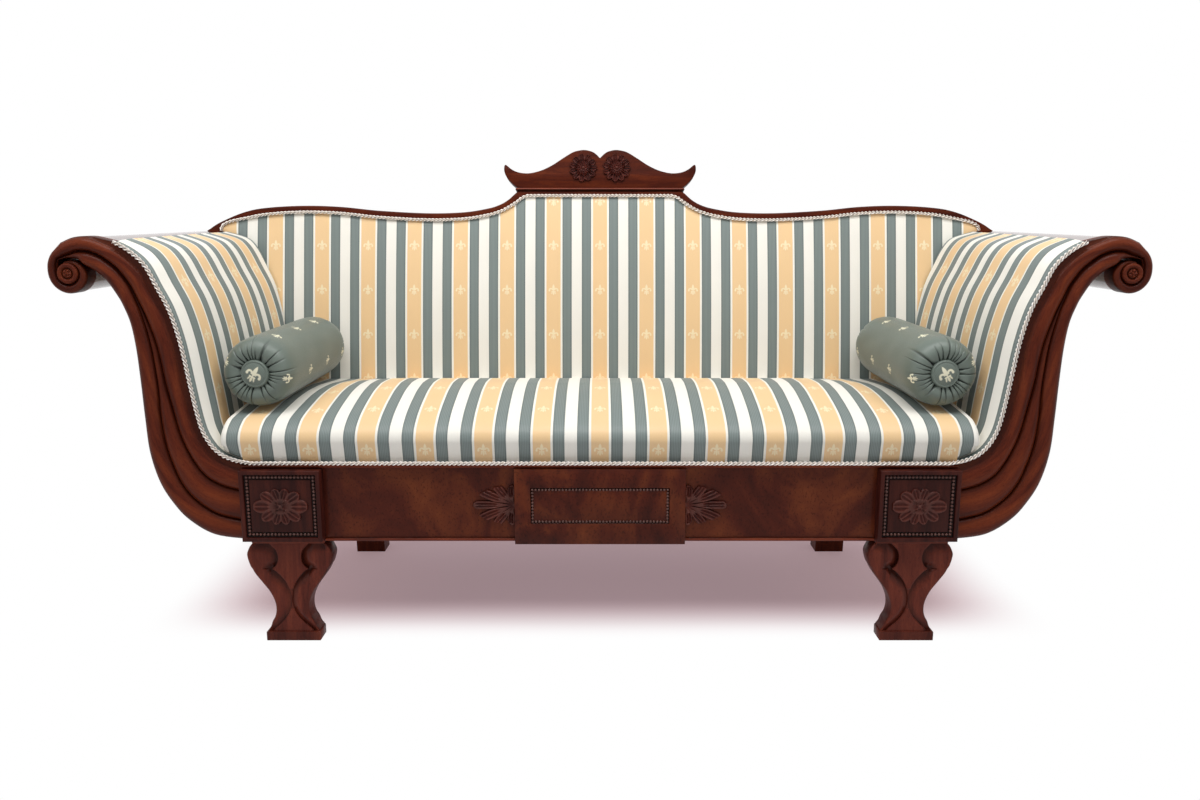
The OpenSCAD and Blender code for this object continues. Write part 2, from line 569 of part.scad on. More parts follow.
tip_x = arm_x0 + arm_reach * tip_share;
rail_edge = curve(scaled(rail_edge_shares, tip_x, back_rise), 4);
pad_edge = curve(scaled(pad_edge_shares, tip_x, back_rise), 2);
board_end = tip_x * 0.93;
function mirrored_outline(half) = concat(half, [for (p = reversed(half)) [-p[0], p[1]]]);
function edge_v(edge, x) = let (n = len(edge) - 1, over = [for (i = [0:n - 1])
    if (edge[i][0] >= x && edge[i + 1][0] < x) i], i = len(over) > 0 ? over[0] : x > edge[0][0] ? 0 : n - 1,
    a = edge[i], b = edge[i + 1]) x < edge[n][0] ? edge[n][1]
        : a[1] + (b[1] - a[1]) * (x - a[0]) / (b[0] - a[0]);

// The serpentine rail: a board behind the upholstery with a moulded strip above it
// How far a point of the edge lies round the cloth's corner: 0 along the top, 1 down the side
function round_corner(p) = smooth((p[0] / tip_x - corner_share) / 0.05);
rail_low_edge = concat([for (x = [1, 0.968]) [tip_x * x, back_rise * rail_low_share]],
    [for (p = pad_edge) p + soft_gap * [round_corner(p), 1]]);
module back_top_rail() placed() color(mahogany) {
    slope_panel(mirrored_outline(concat([[board_end, post_top_v],
        [board_end, edge_v(rail_edge, board_end)]], [for (p = rail_edge) if (p[0] < board_end) p])),
        frame_w0, frame_w1);
    difference() {
        slope_panel(concat(mirrored_outline(rail_edge), reversed(mirrored_outline(rail_low_edge))),
            0, frame_w0);
        for (s = [-1, 1]) both(s) upright_panel(roll_outline(roll_inset - soft_gap), facing_t, rear_far);
    }
}

module back_bottom_rail() placed() color(beech) {
    v0 = slope_v(rail_top, frame_w0);
    in = rear_leg_x - rear_leg_w / 2;
    out = rear_leg_x + rear_leg_w / 2;
    for (x = [[-in, in], [out, arm_x0 - side_rail_t], [side_rail_t - arm_x0, -out]])
        slope_panel([[x[0], v0], [x[1], v0], [x[1], v0 + stretcher_w], [x[0], v0 + stretcher_w]],
            frame_w0, frame_w1);
}

module back_centre_upright() placed() color(beech) {
    v0 = slope_v(rail_top, frame_w0) + stretcher_w;
    slope_panel([[-stretcher_w / 2, v0], [stretcher_w / 2, v0], [stretcher_w / 2, post_top_v],
        [-stretcher_w / 2, post_top_v]], frame_w0, frame_w1);
}

crest_outline = [for (p = mirrored_outline(reversed(curve(crest_shares, 3))))
    [p[0] * crest_w / 2, crest_v + p[1] * crest_h]];
module crest_board() placed() color(mahogany)
    slope_panel(crest_outline, crest_w0, crest_w0 + crest_t);

ledge_half = crest_w * 0.444;
module crest_ledge() placed() color(mahogany)
    slope_panel([[-ledge_half, ledge_v], [ledge_half, ledge_v], [ledge_half, crest_v],
        [-ledge_half, crest_v]], -moulding_out, frame_w1);

crest_rosette_t = 7;
module crest_rosettes() placed() color(mahogany) on_slope() for (s = [-1, 1])
    translate([s * crest_w * 0.084, crest_w0, crest_v + crest_h * 0.53]) rotate([90, 0, 0])
        rosette(crest_rosette_r, crest_rosette_t);

back_webs = 12;
module back_webbing() placed() color(jute) {
    v0 = slope_v(rail_top, frame_w0);
    for (i = [0:back_webs - 1]) {
        x = (i - (back_webs - 1) / 2) * 2 * (arm_x0 - side_rail_t) / back_webs;
        slope_panel([[x - web_w / 2, v0 + cut], [x + web_w / 2, v0 + cut],
            [x + web_w / 2, post_top_v + stretcher_w / 2], [x - web_w / 2, post_top_v + stretcher_w / 2]],
            back_pad_t, frame_w0);
    }
}

// Upholstery of the back: rings from side to side, each from its lower to its upper edge
back_pad_low = -60;
pad_lip = 8;
function back_ring(x, v0, v1, swell) =
    let (h = v1 - v0, r = min(pad_lip, h / 4))
    [for (p = concat([[v0, back_pad_t], [v1, back_pad_t], [v1, r * 0.7], [v1 - r * 0.35, r * 0.15]],
            [for (k = [1:5]) [v1 - h * k / 6, -swell * sin(180 * k / 6)]],
            [[v0 + r * 0.5, 0], [v0, r * 0.8]]))
        at_slope(x, p[0], p[1])];
side_lap = 3;
function side_edge(t) = from_in(t, arm_pad_depth(t) * 0.5 - side_lap);
side_steps = concat(steps_to(pad_end * 1.035, pad_end * 0.965, 5),
    steps_to(pad_end * 0.945, pad_end * 0.038, 15));
function back_half() = concat([for (t = side_steps) let (p = side_edge(t))
        back_ring(p[0], slope_v(p[1], t > pad_end ? back_pad_t : 0), edge_v(pad_edge, p[0]) - soft_gap,
            back_swell * 0.2)],
    [for (p = concat([[arm_x0, edge_v(pad_edge, arm_x0)]], [for (p = pad_edge) if (p[0] < arm_x0) p],
            [[0, back_rise]]))
        back_ring(p[0], back_pad_low, p[1] - soft_gap,
            back_swell * (0.3 + 0.7 * smooth((arm_x0 - p[0]) / (arm_x0 * 0.4))))]);
module back_pad() placed() color(stripe_tan) {
    half = back_half();
    n = len(half);
    skin(concat(half, [for (i = [n - 2:-1:0]) [for (p = half[i]) [-p[0], p[1], p[2]]]]));
}

// Cloth over the outside of the back, inside the line of the rails and the rear frames
cover_inset = 8;
module back_cover() placed() color(stripe_green)
    slope_panel(mirrored_outline(concat(
        [for (t = steps_to(0, roll_start, 24)) let (p = from_out(t, roll_inset + cover_inset))
            [p[0], slope_v(p[1], frame_w1)]],
        [for (x = steps_to(tip_x * 0.95, 0.22 * tip_x, 20)) [x, edge_v(rail_edge, x) - cover_inset]],
        [[tip_x * 0.19, back_rise - cover_inset]])), frame_w1, frame_w1 + back_cover_t);

// Webbing under the rails
seat_webs_x = 8;
seat_webs_y = 3;
module seat_webbing() placed() color(jute) {
    for (i = [0:seat_webs_x - 1]) {
        x = (i - (seat_webs_x - 1) / 2) * 2 * block_in / seat_webs_x;
        box([x - web_w / 2, rail_t / 2, rail_z - web_t], [x + web_w / 2, rear_rail_y + rail_t / 2, rail_z]);
    }
    for (i = [1:seat_webs_y]) {
        y = block_back + (rear_rail_y - block_back) * i / (seat_webs_y + 1);
        box([side_rail_t / 2 - arm_x0, y - web_w / 2, rail_z - web_t],
            [arm_x0 - side_rail_t / 2, y + web_w / 2, rail_z]);
    }
}

// Springs between the webbing and the underlay: waisted, drawn as the shape that their wire fills
module spring() rotate_extrude() polygon([[0, 0], [spring_r, 0], [spring_r * 0.85, rail_h * 0.2],
    [spring_r * 0.62, rail_h * 0.5], [spring_r * 0.85, rail_h * 0.8], [spring_r, rail_h], [0, rail_h]]);
spring_x_shares = [0.09, 0.24, 0.48, 0.62, 0.78];
spring_y_shares = [0.27, 0.73];
module seat_springs() placed() color(steel) for (s = [-1, 1], k = spring_x_shares, j = spring_y_shares)
    translate([s * k * (arm_x0 - side_rail_t), rail_t + (rear_rail_y - rail_t) * j, rail_z]) spring();

module seat_underlay() placed() color(jute)
    box([-arm_x0 + seat_gap, rail_t / 2, rail_top], [arm_x0 - seat_gap, rear_rail_y + rail_t, seat_z]);

// The arm's upholstery thins out towards the corner block
function arm_full(t) = 0.35 + 0.65 * smooth(t / band_last / 0.3);

// Seat: rings from side to side, less crowned towards the arms and standing on their curve
seat_half = arm_x0 + seat_over;
seat_round = 9;
seat_swell = 3;
seat_back_w = -back_swell * 0.45;
seat_steps = [arm_x0 - seat_gap, arm_x0 - 2 * seat_gap];
function above_arm(t) = from_in(t, -arm_round * arm_full(t) - seat_gap);
seat_floor = concat([[seat_steps[1], seat_z], [seat_steps[0], above_arm(0)[1]]],
    [for (t = steps_to(0, band_last * 0.235, 16)) above_arm(t)]);
function seat_crown_at(x) = seat_crown * (1 - side_ease_share * smooth((x / seat_half - 0.6) / 0.35));
function corner_drop(x) = let (u = max(0, 1 - (seat_half - x) / seat_round))
    seat_round * (1 - sqrt(max(0, 1 - u * u)));
function seat_ring(x, draw) =
    let (low = lookup(x, seat_floor), mid = low + seat_round, crown = seat_crown_at(x), drop = corner_drop(x))
    concat([[x, plane_y(low, seat_back_w) - seat_gap, low], [x, drop, low], [x, drop - draw * 0.6, mid]],
        [for (p = seat_top_shares)
            let (z = max(mid + seat_gap, back_z + p[1] * (p[1] > 0 ? crown : seat_crown) - drop))
            [x, min(p[0] * seat_depth + drop * (1 - p[0]), plane_y(z, seat_back_w) - seat_gap), z]]);
seat_stations = concat([for (u = [0, 0.12, 0.4, 1, 2]) seat_half - seat_round * u], seat_steps,
    [for (u = [0.91, 0.88, 0.84, 0.8, 0.75, 0.69, 0.62, 0.4, 0.2]) seat_half * u]);
module seat_pad() placed() color(stripe_tan) {
    half = [for (x = seat_stations) seat_ring(x, seat_swell * smooth((seat_half - x) / (2 * seat_round)))];
    skin(reversed(concat(half, [seat_ring(0, seat_swell)],
        [for (ring = reversed(half)) [for (p = ring) [-p[0], p[1], p[2]]]])));
}

bottom_cloth_t = 1;
module bottom_cloth() placed() color(black_cloth)
    box([side_rail_t / 3 - arm_x0 + block_w, rail_t / 3, rail_z - web_t - bottom_cloth_t],
        [arm_x0 - block_w - side_rail_t / 3, rear_rail_y + rail_t * 2 / 3, rail_z - web_t]);

// A cord swept along points, eight-sided, with flats to the front and back
cord_r = cord_d / 2;
cord_sides = 8;
flat_share = cos(180 / cord_sides);
function unit(v) = v / norm(v);
module cord(path, front) skin([for (i = [0:len(path) - 1])
    let (n = len(path) - 1, d = unit(path[min(i + 1, n)] - path[max(i - 1, 0)]),
        side = unit(cross(d, front)), up = cross(side, d))
    [for (k = [0:cord_sides - 1]) let (a = 360 * (k + 0.5) / cord_sides)
        path[i] + cord_r * (side * cos(a) + up * sin(a))]]);

seat_cord_y = -cord_r * flat_share - soft_gap;
module seat_cord() placed() color(cream) {
    half = concat([for (t = steps_to(pad_end, pad_end * 0.02, 26)) let (p = from_in(t, -seat_gap))
            [p[0], seat_cord_y, p[1]]],
        [for (x = steps_to(arm_x0 * 0.97, arm_x0 * 0.02, 5)) [x, seat_cord_y - moulding_out - soft_gap,
            seat_z + cord_r + soft_gap]]);
    cord(concat(half, [for (p = reversed(half)) [-p[0], p[1], p[2]]]), [0, -1, 0]);
}

module back_cord() placed() color(cream) {
    half = [for (p = pad_edge) let (k = round_corner(p))
        at_slope(p[0] + cord_r * 0.4 * k, p[1] - cord_r * 0.5 * (1 - k), -cord_r * flat_share - soft_gap)];
    cord(concat(half, [for (p = reversed(half)) [-p[0], p[1], p[2]]]), [0, -1, 0]);
}

// Bolsters lie in the corners of the seat along the arms
bolster_r = bolster_d / 2;
bolster_x = arm_x0 - bolster_in;
// Clear of the back at the height of the bolster's middle
bolster_y = plane_y(back_z + bolster_r * 0.4, -back_swell * 0.8) - bolster_l;
// The lowest height at which the bolster clears the falling side of the seat
bolster_z = max([for (d = steps_to(-bolster_r, bolster_in, 12))
    back_z + seat_crown_at(bolster_x + d) + sqrt(bolster_r * bolster_r - d * d)]) + soft_gap;
module bolster_place(side) placed() both(side)
    translate([bolster_x, bolster_y, bolster_z]) rotate([-90, 0, 0]) children();
end_in = 8;
bolster_half = [[bolster_r * 0.62, 0], [bolster_r * 0.82, end_in * 0.8], [bolster_r * 0.94, end_in * 2],
    [bolster_r * 0.985, end_in * 3.4], [bolster_r, end_in * 5.5]];
function bolster_profile() = concat([[0, end_in], [button_d * 0.48, end_in]], bolster_half,
    [for (p = reversed(bolster_half)) [p[0], bolster_l - p[1]]],
    [[button_d * 0.48, bolster_l - end_in], [0, bolster_l - end_in]]);
module bolster(side) bolster_place(side) color(stripe_green) rotate_extrude() polygon(bolster_profile());
module bolster_left() bolster(-1);
module bolster_right() bolster(1);

module button() rotate_extrude() polygon([[0, 0], [button_d * 0.46, 0], [button_d * 0.44, -end_in * 0.5],
    [button_d * 0.3, -end_in * 0.85], [0, -end_in]]);
module bolster_buttons(side) bolster_place(side) color(stripe_green) {
    translate([0, 0, end_in]) button();
    translate([0, 0, bolster_l - end_in]) mirror([0, 0, 1]) button();
}
module bolster_buttons_left() bolster_buttons(-1);
module bolster_buttons_right() bolster_buttons(1);

front_rail();
rear_rail();
side_rail_left();
side_rail_right();
seat_stretchers();
corner_braces();
rail_top_moulding();
rail_bottom_moulding();
centre_plaque();
plaque_beads();
palmette_left();
palmette_right();
corner_block_left();
corner_block_right();
block_beads_left();
block_beads_right();
block_rosette_left();
block_rosette_right();
front_leg_left();
front_leg_right();
rear_leg_left();
rear_leg_right();
arm_facing_left();
arm_facing_right();
scroll_boss_left();
scroll_boss_right();
arm_roll_left();
arm_roll_right();
arm_board_left();
arm_board_right();
arm_rear_frame_left();
arm_rear_frame_right();
arm_cover_left();
arm_cover_right();
arm_pad_left();
arm_pad_right();
back_bottom_rail();
back_top_rail();
back_centre_upright();
crest_board();
crest_ledge();
crest_rosettes();
back_webbing();
back_pad();
back_cover();
seat_webbing();
seat_springs();
seat_underlay();
seat_pad();
bottom_cloth();
seat_cord();
back_cord();
bolster_left();
bolster_right();
bolster_buttons_left();
bolster_buttons_right();
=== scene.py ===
import math
import bmesh
import bpy
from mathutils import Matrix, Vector, noise


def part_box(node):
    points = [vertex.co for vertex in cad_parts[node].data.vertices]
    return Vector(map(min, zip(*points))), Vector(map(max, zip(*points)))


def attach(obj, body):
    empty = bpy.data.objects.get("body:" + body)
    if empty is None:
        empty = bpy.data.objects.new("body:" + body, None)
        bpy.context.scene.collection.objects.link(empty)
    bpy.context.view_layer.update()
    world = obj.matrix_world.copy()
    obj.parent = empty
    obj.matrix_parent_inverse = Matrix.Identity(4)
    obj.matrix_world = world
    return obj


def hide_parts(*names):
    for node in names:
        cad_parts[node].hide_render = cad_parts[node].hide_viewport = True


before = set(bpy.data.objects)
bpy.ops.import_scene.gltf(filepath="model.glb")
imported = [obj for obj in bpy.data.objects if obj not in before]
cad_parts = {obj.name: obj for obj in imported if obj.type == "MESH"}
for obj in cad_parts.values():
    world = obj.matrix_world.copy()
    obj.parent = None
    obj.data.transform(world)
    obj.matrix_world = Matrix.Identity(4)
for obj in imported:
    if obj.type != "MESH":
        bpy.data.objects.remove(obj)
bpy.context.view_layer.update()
bpy.ops.object.select_all(action="DESELECT")
print("frame loaded")


def lowOf(node):
    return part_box(node)[0]


def highOf(node):
    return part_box(node)[1]


# main sizes, in metres: read from the frame where a node shows them
settee = {
    "front": lowOf("front_rail").y,          # face of the front rail
    "railZ": lowOf("front_rail").z,
    "railTop": highOf("front_rail").z,
    "seatZ": highOf("rail_top_moulding").z,
    "armX": highOf("corner_block_right").x,  # outer face of the corner block
    "armReach": 0.340,
    "armRise": 0.598,
    "rake": math.radians(9.6),
    "depth": 0.453,                          # from the rail's face to the back at seat height
    "backZ": 0.448,
    "backRise": 0.4473,
    "facing": 0.030,
    "frameIn": 0.030,                        # from the back's cloth to its frame
    "frameOut": 0.055,
}
armX = settee["armX"]
rake = settee["rake"]


# curves

def curveAt(points, t):
    last = len(points) - 1
    i = max(0, min(int(t), last - 1))
    u = t - i
    near = [points[max(0, min(last, i + k))] for k in (-1, 0, 1, 2)]
    return tuple(0.5 * (2 * b + (c - a) * u + (2 * a - 5 * b + 4 * c - d) * u * u
                        + (3 * b - 3 * c + d - a) * u ** 3) for a, b, c, d in zip(*near))


def curve(points, steps):
    return [curveAt(points, k / steps) for k in range((len(points) - 1) * steps + 1)]


def smooth(t):
    u = max(0.0, min(1.0, t))
    return u * u * (3 - 2 * u)


def between(a, b, count):
    return [a + (b - a) * k / count for k in range(count + 1)]


def lookup(x, table):
    pairs = sorted(table)
    if x <= pairs[0][0]:
        return pairs[0][1]
    for (x0, y0), (x1, y1) in zip(pairs, pairs[1:]):
        if x <= x1:
            return y0 + (y1 - y0) * (x - x0) / max(x1 - x0, 1e-9)
    return pairs[-1][1]


def lengths(points):
    run = [0.0]
    for a, b in zip(points, points[1:]):
        run.append(run[-1] + (Vector(b) - Vector(a)).length)
    return run


# places: x along the settee, y back from the rail's face, z up; and on the slope of the back

def at(x, y, z):
    return Vector((x, settee["front"] + y, z))


def onSlope(x, v, w):
    return at(x, settee["depth"] + v * math.sin(rake) + w * math.cos(rake),
              settee["backZ"] + v * math.cos(rake) - w * math.sin(rake))


def slopeOf(z, w):
    return (z - settee["backZ"] + w * math.sin(rake)) / math.cos(rake)


def planeY(z, w):
    return settee["depth"] + (z - settee["backZ"]) * math.tan(rake) + w / math.cos(rake)


# meshes

def shade(piece, angle):
    piece.data.shade_smooth()
    piece.data.set_sharp_from_angle(angle=math.radians(angle))


def linked(name, mesh):
    piece = bpy.data.objects.new(name, mesh)
    bpy.context.scene.collection.objects.link(piece)
    return piece


def newPiece(name, points, faces, uvs=None, angle=40):
    mesh = bpy.data.meshes.new(name)
    mesh.from_pydata([tuple(p) for p in points], [], faces)
    if uvs:
        layer = mesh.uv_layers.new(name="cloth")
        for k, uv in enumerate(uvs):
            layer.data[k].uv = uv
    piece = linked(name, mesh)
    shade(piece, angle)
    return piece


def pieceOf(name, work):
    mesh = bpy.data.meshes.new(name)
    work.to_mesh(mesh)
    work.free()
    return linked(name, mesh)


def faceOut(piece, angle, weld=False, fill=False):
    # every face turned outwards; points in one place can be welded first, and open edges filled
    work = bmesh.new()
    work.from_mesh(piece.data)
    if weld:
        bmesh.ops.remove_doubles(work, verts=work.verts, dist=1e-6)
    if fill:
        bmesh.ops.holes_fill(work, edges=[e for e in work.edges if e.is_boundary])
    bmesh.ops.recalc_face_normals(work, faces=work.faces)
    work.to_mesh(piece.data)
    work.free()
    shade(piece, angle)


def surface(name, rows, uvAt=None, closed=False, angle=40):
    # rows of points joined into faces; closed joins each row on itself and caps both ends
    count = len(rows[0])
    faces, uvs = [], []
    for i in range(len(rows) - 1):
        for j in range(count if closed else count - 1):
            k = (j + 1) % count
            faces.append((i * count + j, i * count + k, (i + 1) * count + k, (i + 1) * count + j))
            if uvAt:
                uvs += [uvAt(i, j), uvAt(i, j + 1), uvAt(i + 1, j + 1), uvAt(i + 1, j)]
    if closed:
        for i in (0, len(rows) - 1):
            faces.append(tuple(i * count + j for j in range(count)))
            if uvAt:
                uvs += [uvAt(i, j) for j in range(count)]
    piece = newPiece(name, [p for row in rows for p in row], faces, uvs, angle)
    if closed:
        faceOut(piece, angle)
    return piece


def tubes(name, runs, angle=60, uvAt=None, ends=(0, -1), weld=False):
    # one piece from several runs of rings; each run is capped at the ends that are named
    points, faces, uvs = [], [], []
    for run, rings in enumerate(runs):
        start, count = len(points), len(rings[0])
        points += [p for ring in rings for p in ring]
        for i in range(len(rings) - 1):
            for j in range(count):
                a = start + i * count + j
                b = start + i * count + (j + 1) % count
                faces.append((a, b, b + count, a + count))
            if uvAt:
                uvs += [uvAt(run, i)] * (4 * count)
        for end in ends:
            first = start + (end % len(rings)) * count
            faces.append(tuple(range(first, first + count)))
            if uvAt:
                uvs += [uvAt(run, 0)] * count
    piece = newPiece(name, points, faces, uvs, angle)
    faceOut(piece, angle, weld)
    return piece


def mirrored(points):
    return [Vector((-p.x, p.y, p.z)) for p in points]


def bothHalves(rings):
    # the rings of the right half, in to the middle, and their mirror images out again
    return rings + [mirrored(ring) for ring in rings[-2::-1]]


def pickOnly(piece):
    bpy.ops.object.select_all(action="DESELECT")
    bpy.context.view_layer.objects.active = piece
    piece.select_set(True)


def applyModifiers(piece):
    pickOnly(piece)
    for modifier in list(piece.modifiers):
        bpy.ops.object.modifier_apply(modifier=modifier.name)
    piece.select_set(False)


def roundEdges(piece, width, segments, angle=40):
    bevel = piece.modifiers.new("roundEdges", "BEVEL")
    bevel.width = width
    bevel.segments = segments
    bevel.limit_method = "ANGLE"
    bevel.angle_limit = math.radians(angle)
    applyModifiers(piece)
    shade(piece, 50)


def outlineSlab(name, outline, place, depths, edge):
    # a board from its outline: place turns (x, v, depth) into a point
    work = bmesh.new()
    face = work.faces.new([work.verts.new(place(x, v, depths[1])) for x, v in outline])
    out = bmesh.ops.extrude_face_region(work, geom=[face])
    move = place(0, 0, depths[0]) - place(0, 0, depths[1])
    moved = [v for v in out["geom"] if isinstance(v, bmesh.types.BMVert)]
    bmesh.ops.translate(work, vec=move, verts=moved)
    bmesh.ops.recalc_face_normals(work, faces=work.faces)
    piece = pieceOf(name, work)
    roundEdges(piece, edge, 3)
    shade(piece, 40)
    return piece


def joinCopies(name, pattern, places):
    # one piece from copies of a pattern, one at each place
    work = bmesh.new()
    for place in places:
        before = len(work.verts)
        work.from_mesh(pattern.data)
        work.verts.ensure_lookup_table()
        bmesh.ops.translate(work, vec=place, verts=work.verts[before:])
    bpy.data.objects.remove(pattern)
    piece = pieceOf(name, work)
    shade(piece, 60)
    return piece


def board(name, low, high, edge=0):
    # a squared piece of wood, with eased edges if asked
    bpy.ops.object.select_all(action="DESELECT")
    bpy.ops.mesh.primitive_cube_add(size=1, location=(low + high) / 2, scale=high - low)
    piece = bpy.context.object
    piece.name = name
    bpy.ops.object.transform_apply(location=True, rotation=True, scale=True)
    if edge:
        roundEdges(piece, edge, 3)
    piece.select_set(False)
    return piece


def stepPanel(piece, steps):
    # the front face is inset and pushed back or forward, once for each step
    pickOnly(piece)
    bpy.ops.object.mode_set(mode="EDIT")
    bpy.ops.mesh.select_mode(type="FACE")
    bpy.ops.mesh.select_all(action="DESELECT")
    work = bmesh.from_edit_mesh(piece.data)
    work.faces.ensure_lookup_table()
    front = min(work.faces, key=lambda f: f.calc_center_median().y)
    front.select = True
    bmesh.update_edit_mesh(piece.data)
    for border, push in steps:
        bpy.ops.mesh.inset(thickness=border)
        bpy.ops.mesh.extrude_region_move(TRANSFORM_OT_translate={"value": (0, push, 0)})
    bpy.ops.object.mode_set(mode="OBJECT")
    piece.select_set(False)


def setUv(piece, uvOf):
    layer = piece.data.uv_layers.new(name="cloth")
    for loop in piece.data.loops:
        layer.data[loop.index].uv = uvOf(piece.data.vertices[loop.vertex_index].co)


def storeShading(piece, values):
    # painted light and shade at each point: 0 is painted shade in the hollows, 0.5 plain, 1 a painted
    # highlight on the ridges
    layer = piece.data.attributes.new("paintedShading", "FLOAT", "POINT")
    layer.data.foreach_set("value", values)


def setShading(piece, carveOf):
    storeShading(piece, [max(0.0, min(1.0, carveOf(vert.co))) for vert in piece.data.vertices])


def shadeByDepth(piece, start, table):
    # painted shade and highlight from a table of how far a point lies behind the face at start
    setShading(piece, lambda co: lookup(co.y - start, table))


def shadeByRise(piece, ground, rise):
    # painted shade on the ground, a painted highlight at the highest places
    setShading(piece, lambda co: 0.03 + 0.97 * smooth((ground - co.y + 0.0004) / rise) ** 0.8)


def dress(piece, material, node, body="root"):
    piece.data.materials.clear()
    piece.data.materials.append(material)
    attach(piece, body)
    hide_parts(node)


def upholster(piece, node):
    dress(piece, striped, node)


# shader maths

class Wire:
    def __init__(self, desk, socket):
        self.desk = desk
        self.socket = socket

    def __add__(self, other):
        return self.desk.maths("ADD", self, other)

    def __sub__(self, other):
        return self.desk.maths("SUBTRACT", self, other)

    def __rsub__(self, other):
        return self.desk.maths("SUBTRACT", other, self)

    def __mul__(self, other):
        return self.desk.maths("MULTIPLY", self, other)

    def __truediv__(self, other):
        return self.desk.maths("DIVIDE", self, other)

    def __pow__(self, other):
        return self.desk.maths("POWER", self, other)

    def __abs__(self):
        return self.desk.maths("ABSOLUTE", self)

    __radd__ = __add__
    __rmul__ = __mul__


class Desk:
    # the node tree of a material or of the world
    def __init__(self, block):
        self.block = block
        block.use_nodes = True
        self.tree = block.node_tree
        self.tree.nodes.clear()

    def node(self, kind, inputs=None, **settings):
        made = self.tree.nodes.new(kind)
        for key, value in settings.items():
            setattr(made, key, value)
        for key, value in (inputs or {}).items():
            if isinstance(value, Wire):
                self.tree.links.new(value.socket, made.inputs[key])
            else:
                made.inputs[key].default_value = value
        return made

    def wire(self, made, output=0):
        return Wire(self, made.outputs[output])

    def maths(self, operation, *values, clamp=False):
        inputs = dict(enumerate(values))
        return self.wire(self.node("ShaderNodeMath", inputs, operation=operation, use_clamp=clamp))

    def clamped(self, value):
        return self.maths("ADD", value, 0.0, clamp=True)

    def below(self, value, edge, soft):
        # 1 where value is under edge, 0 above, with a soft step between
        return self.clamped((edge - value) / soft + 0.5)

    def ribs(self, value, pitch):
        # 0 to 1 and back over twice the pitch
        return self.maths("PINGPONG", value, pitch) / pitch

    def centred(self, value, period):
        # signed distance from the nearest multiple of the period
        return value - period * self.maths("ROUND", value / period)

    def ramp(self, value, stops):
        made = self.node("ShaderNodeValToRGB", {"Fac": value})
        for place, colour in stops[2:]:
            made.color_ramp.elements.new(place)
        for element, (place, colour) in zip(made.color_ramp.elements, stops):
            element.position = place
            element.color = (*colour, 1)
        return self.wire(made)

    def mixed(self, a, b, mask, blend="MIX"):
        a, b = [(*c, 1) if isinstance(c, tuple) else c for c in (a, b)]
        inputs = {0: mask, 6: a, 7: b}
        return self.wire(self.node("ShaderNodeMix", inputs, data_type="RGBA", blend_type=blend), 2)

    def dimmed(self, colour, gain):
        grey = self.wire(self.node("ShaderNodeCombineColor", {0: gain, 1: gain, 2: gain}))
        return self.mixed(colour, grey, 1.0, "MULTIPLY")

    def noise(self, place, scale, detail=3.0, rough=0.5, twist=0.0):
        inputs = {"Vector": place, "Scale": scale, "Detail": detail, "Roughness": rough, "Distortion": twist}
        return self.wire(self.node("ShaderNodeTexNoise", inputs))

    def placed(self, source, scale):
        return self.wire(self.node("ShaderNodeMapping", {"Vector": source, "Scale": scale}))

    def objectPlace(self):
        return self.wire(self.node("ShaderNodeTexCoord"), "Object")

    def uvPlace(self):
        return self.wire(self.node("ShaderNodeUVMap", uv_map="cloth"))

    def paintedShading(self):
        return self.wire(self.node("ShaderNodeAttribute", attribute_name="paintedShading"), 2)

    def parts(self, place):
        made = self.node("ShaderNodeSeparateXYZ", {0: place})
        return [self.wire(made, k) for k in range(3)]

    def bump(self, height, strength, distance):
        inputs = {"Height": height, "Strength": strength, "Distance": distance}
        return self.wire(self.node("ShaderNodeBump", inputs))

    def finish(self, inputs):
        shader = self.node("ShaderNodeBsdfPrincipled", inputs)
        self.node("ShaderNodeOutputMaterial", {0: self.wire(shader)})
        return self.block


# wood

def grainAlong(axis, fine=9.0):
    # how finely the grain is drawn in x, y and z: coarse only in the direction it runs
    return tuple(1.0 if name == axis else fine for name in "xyz")


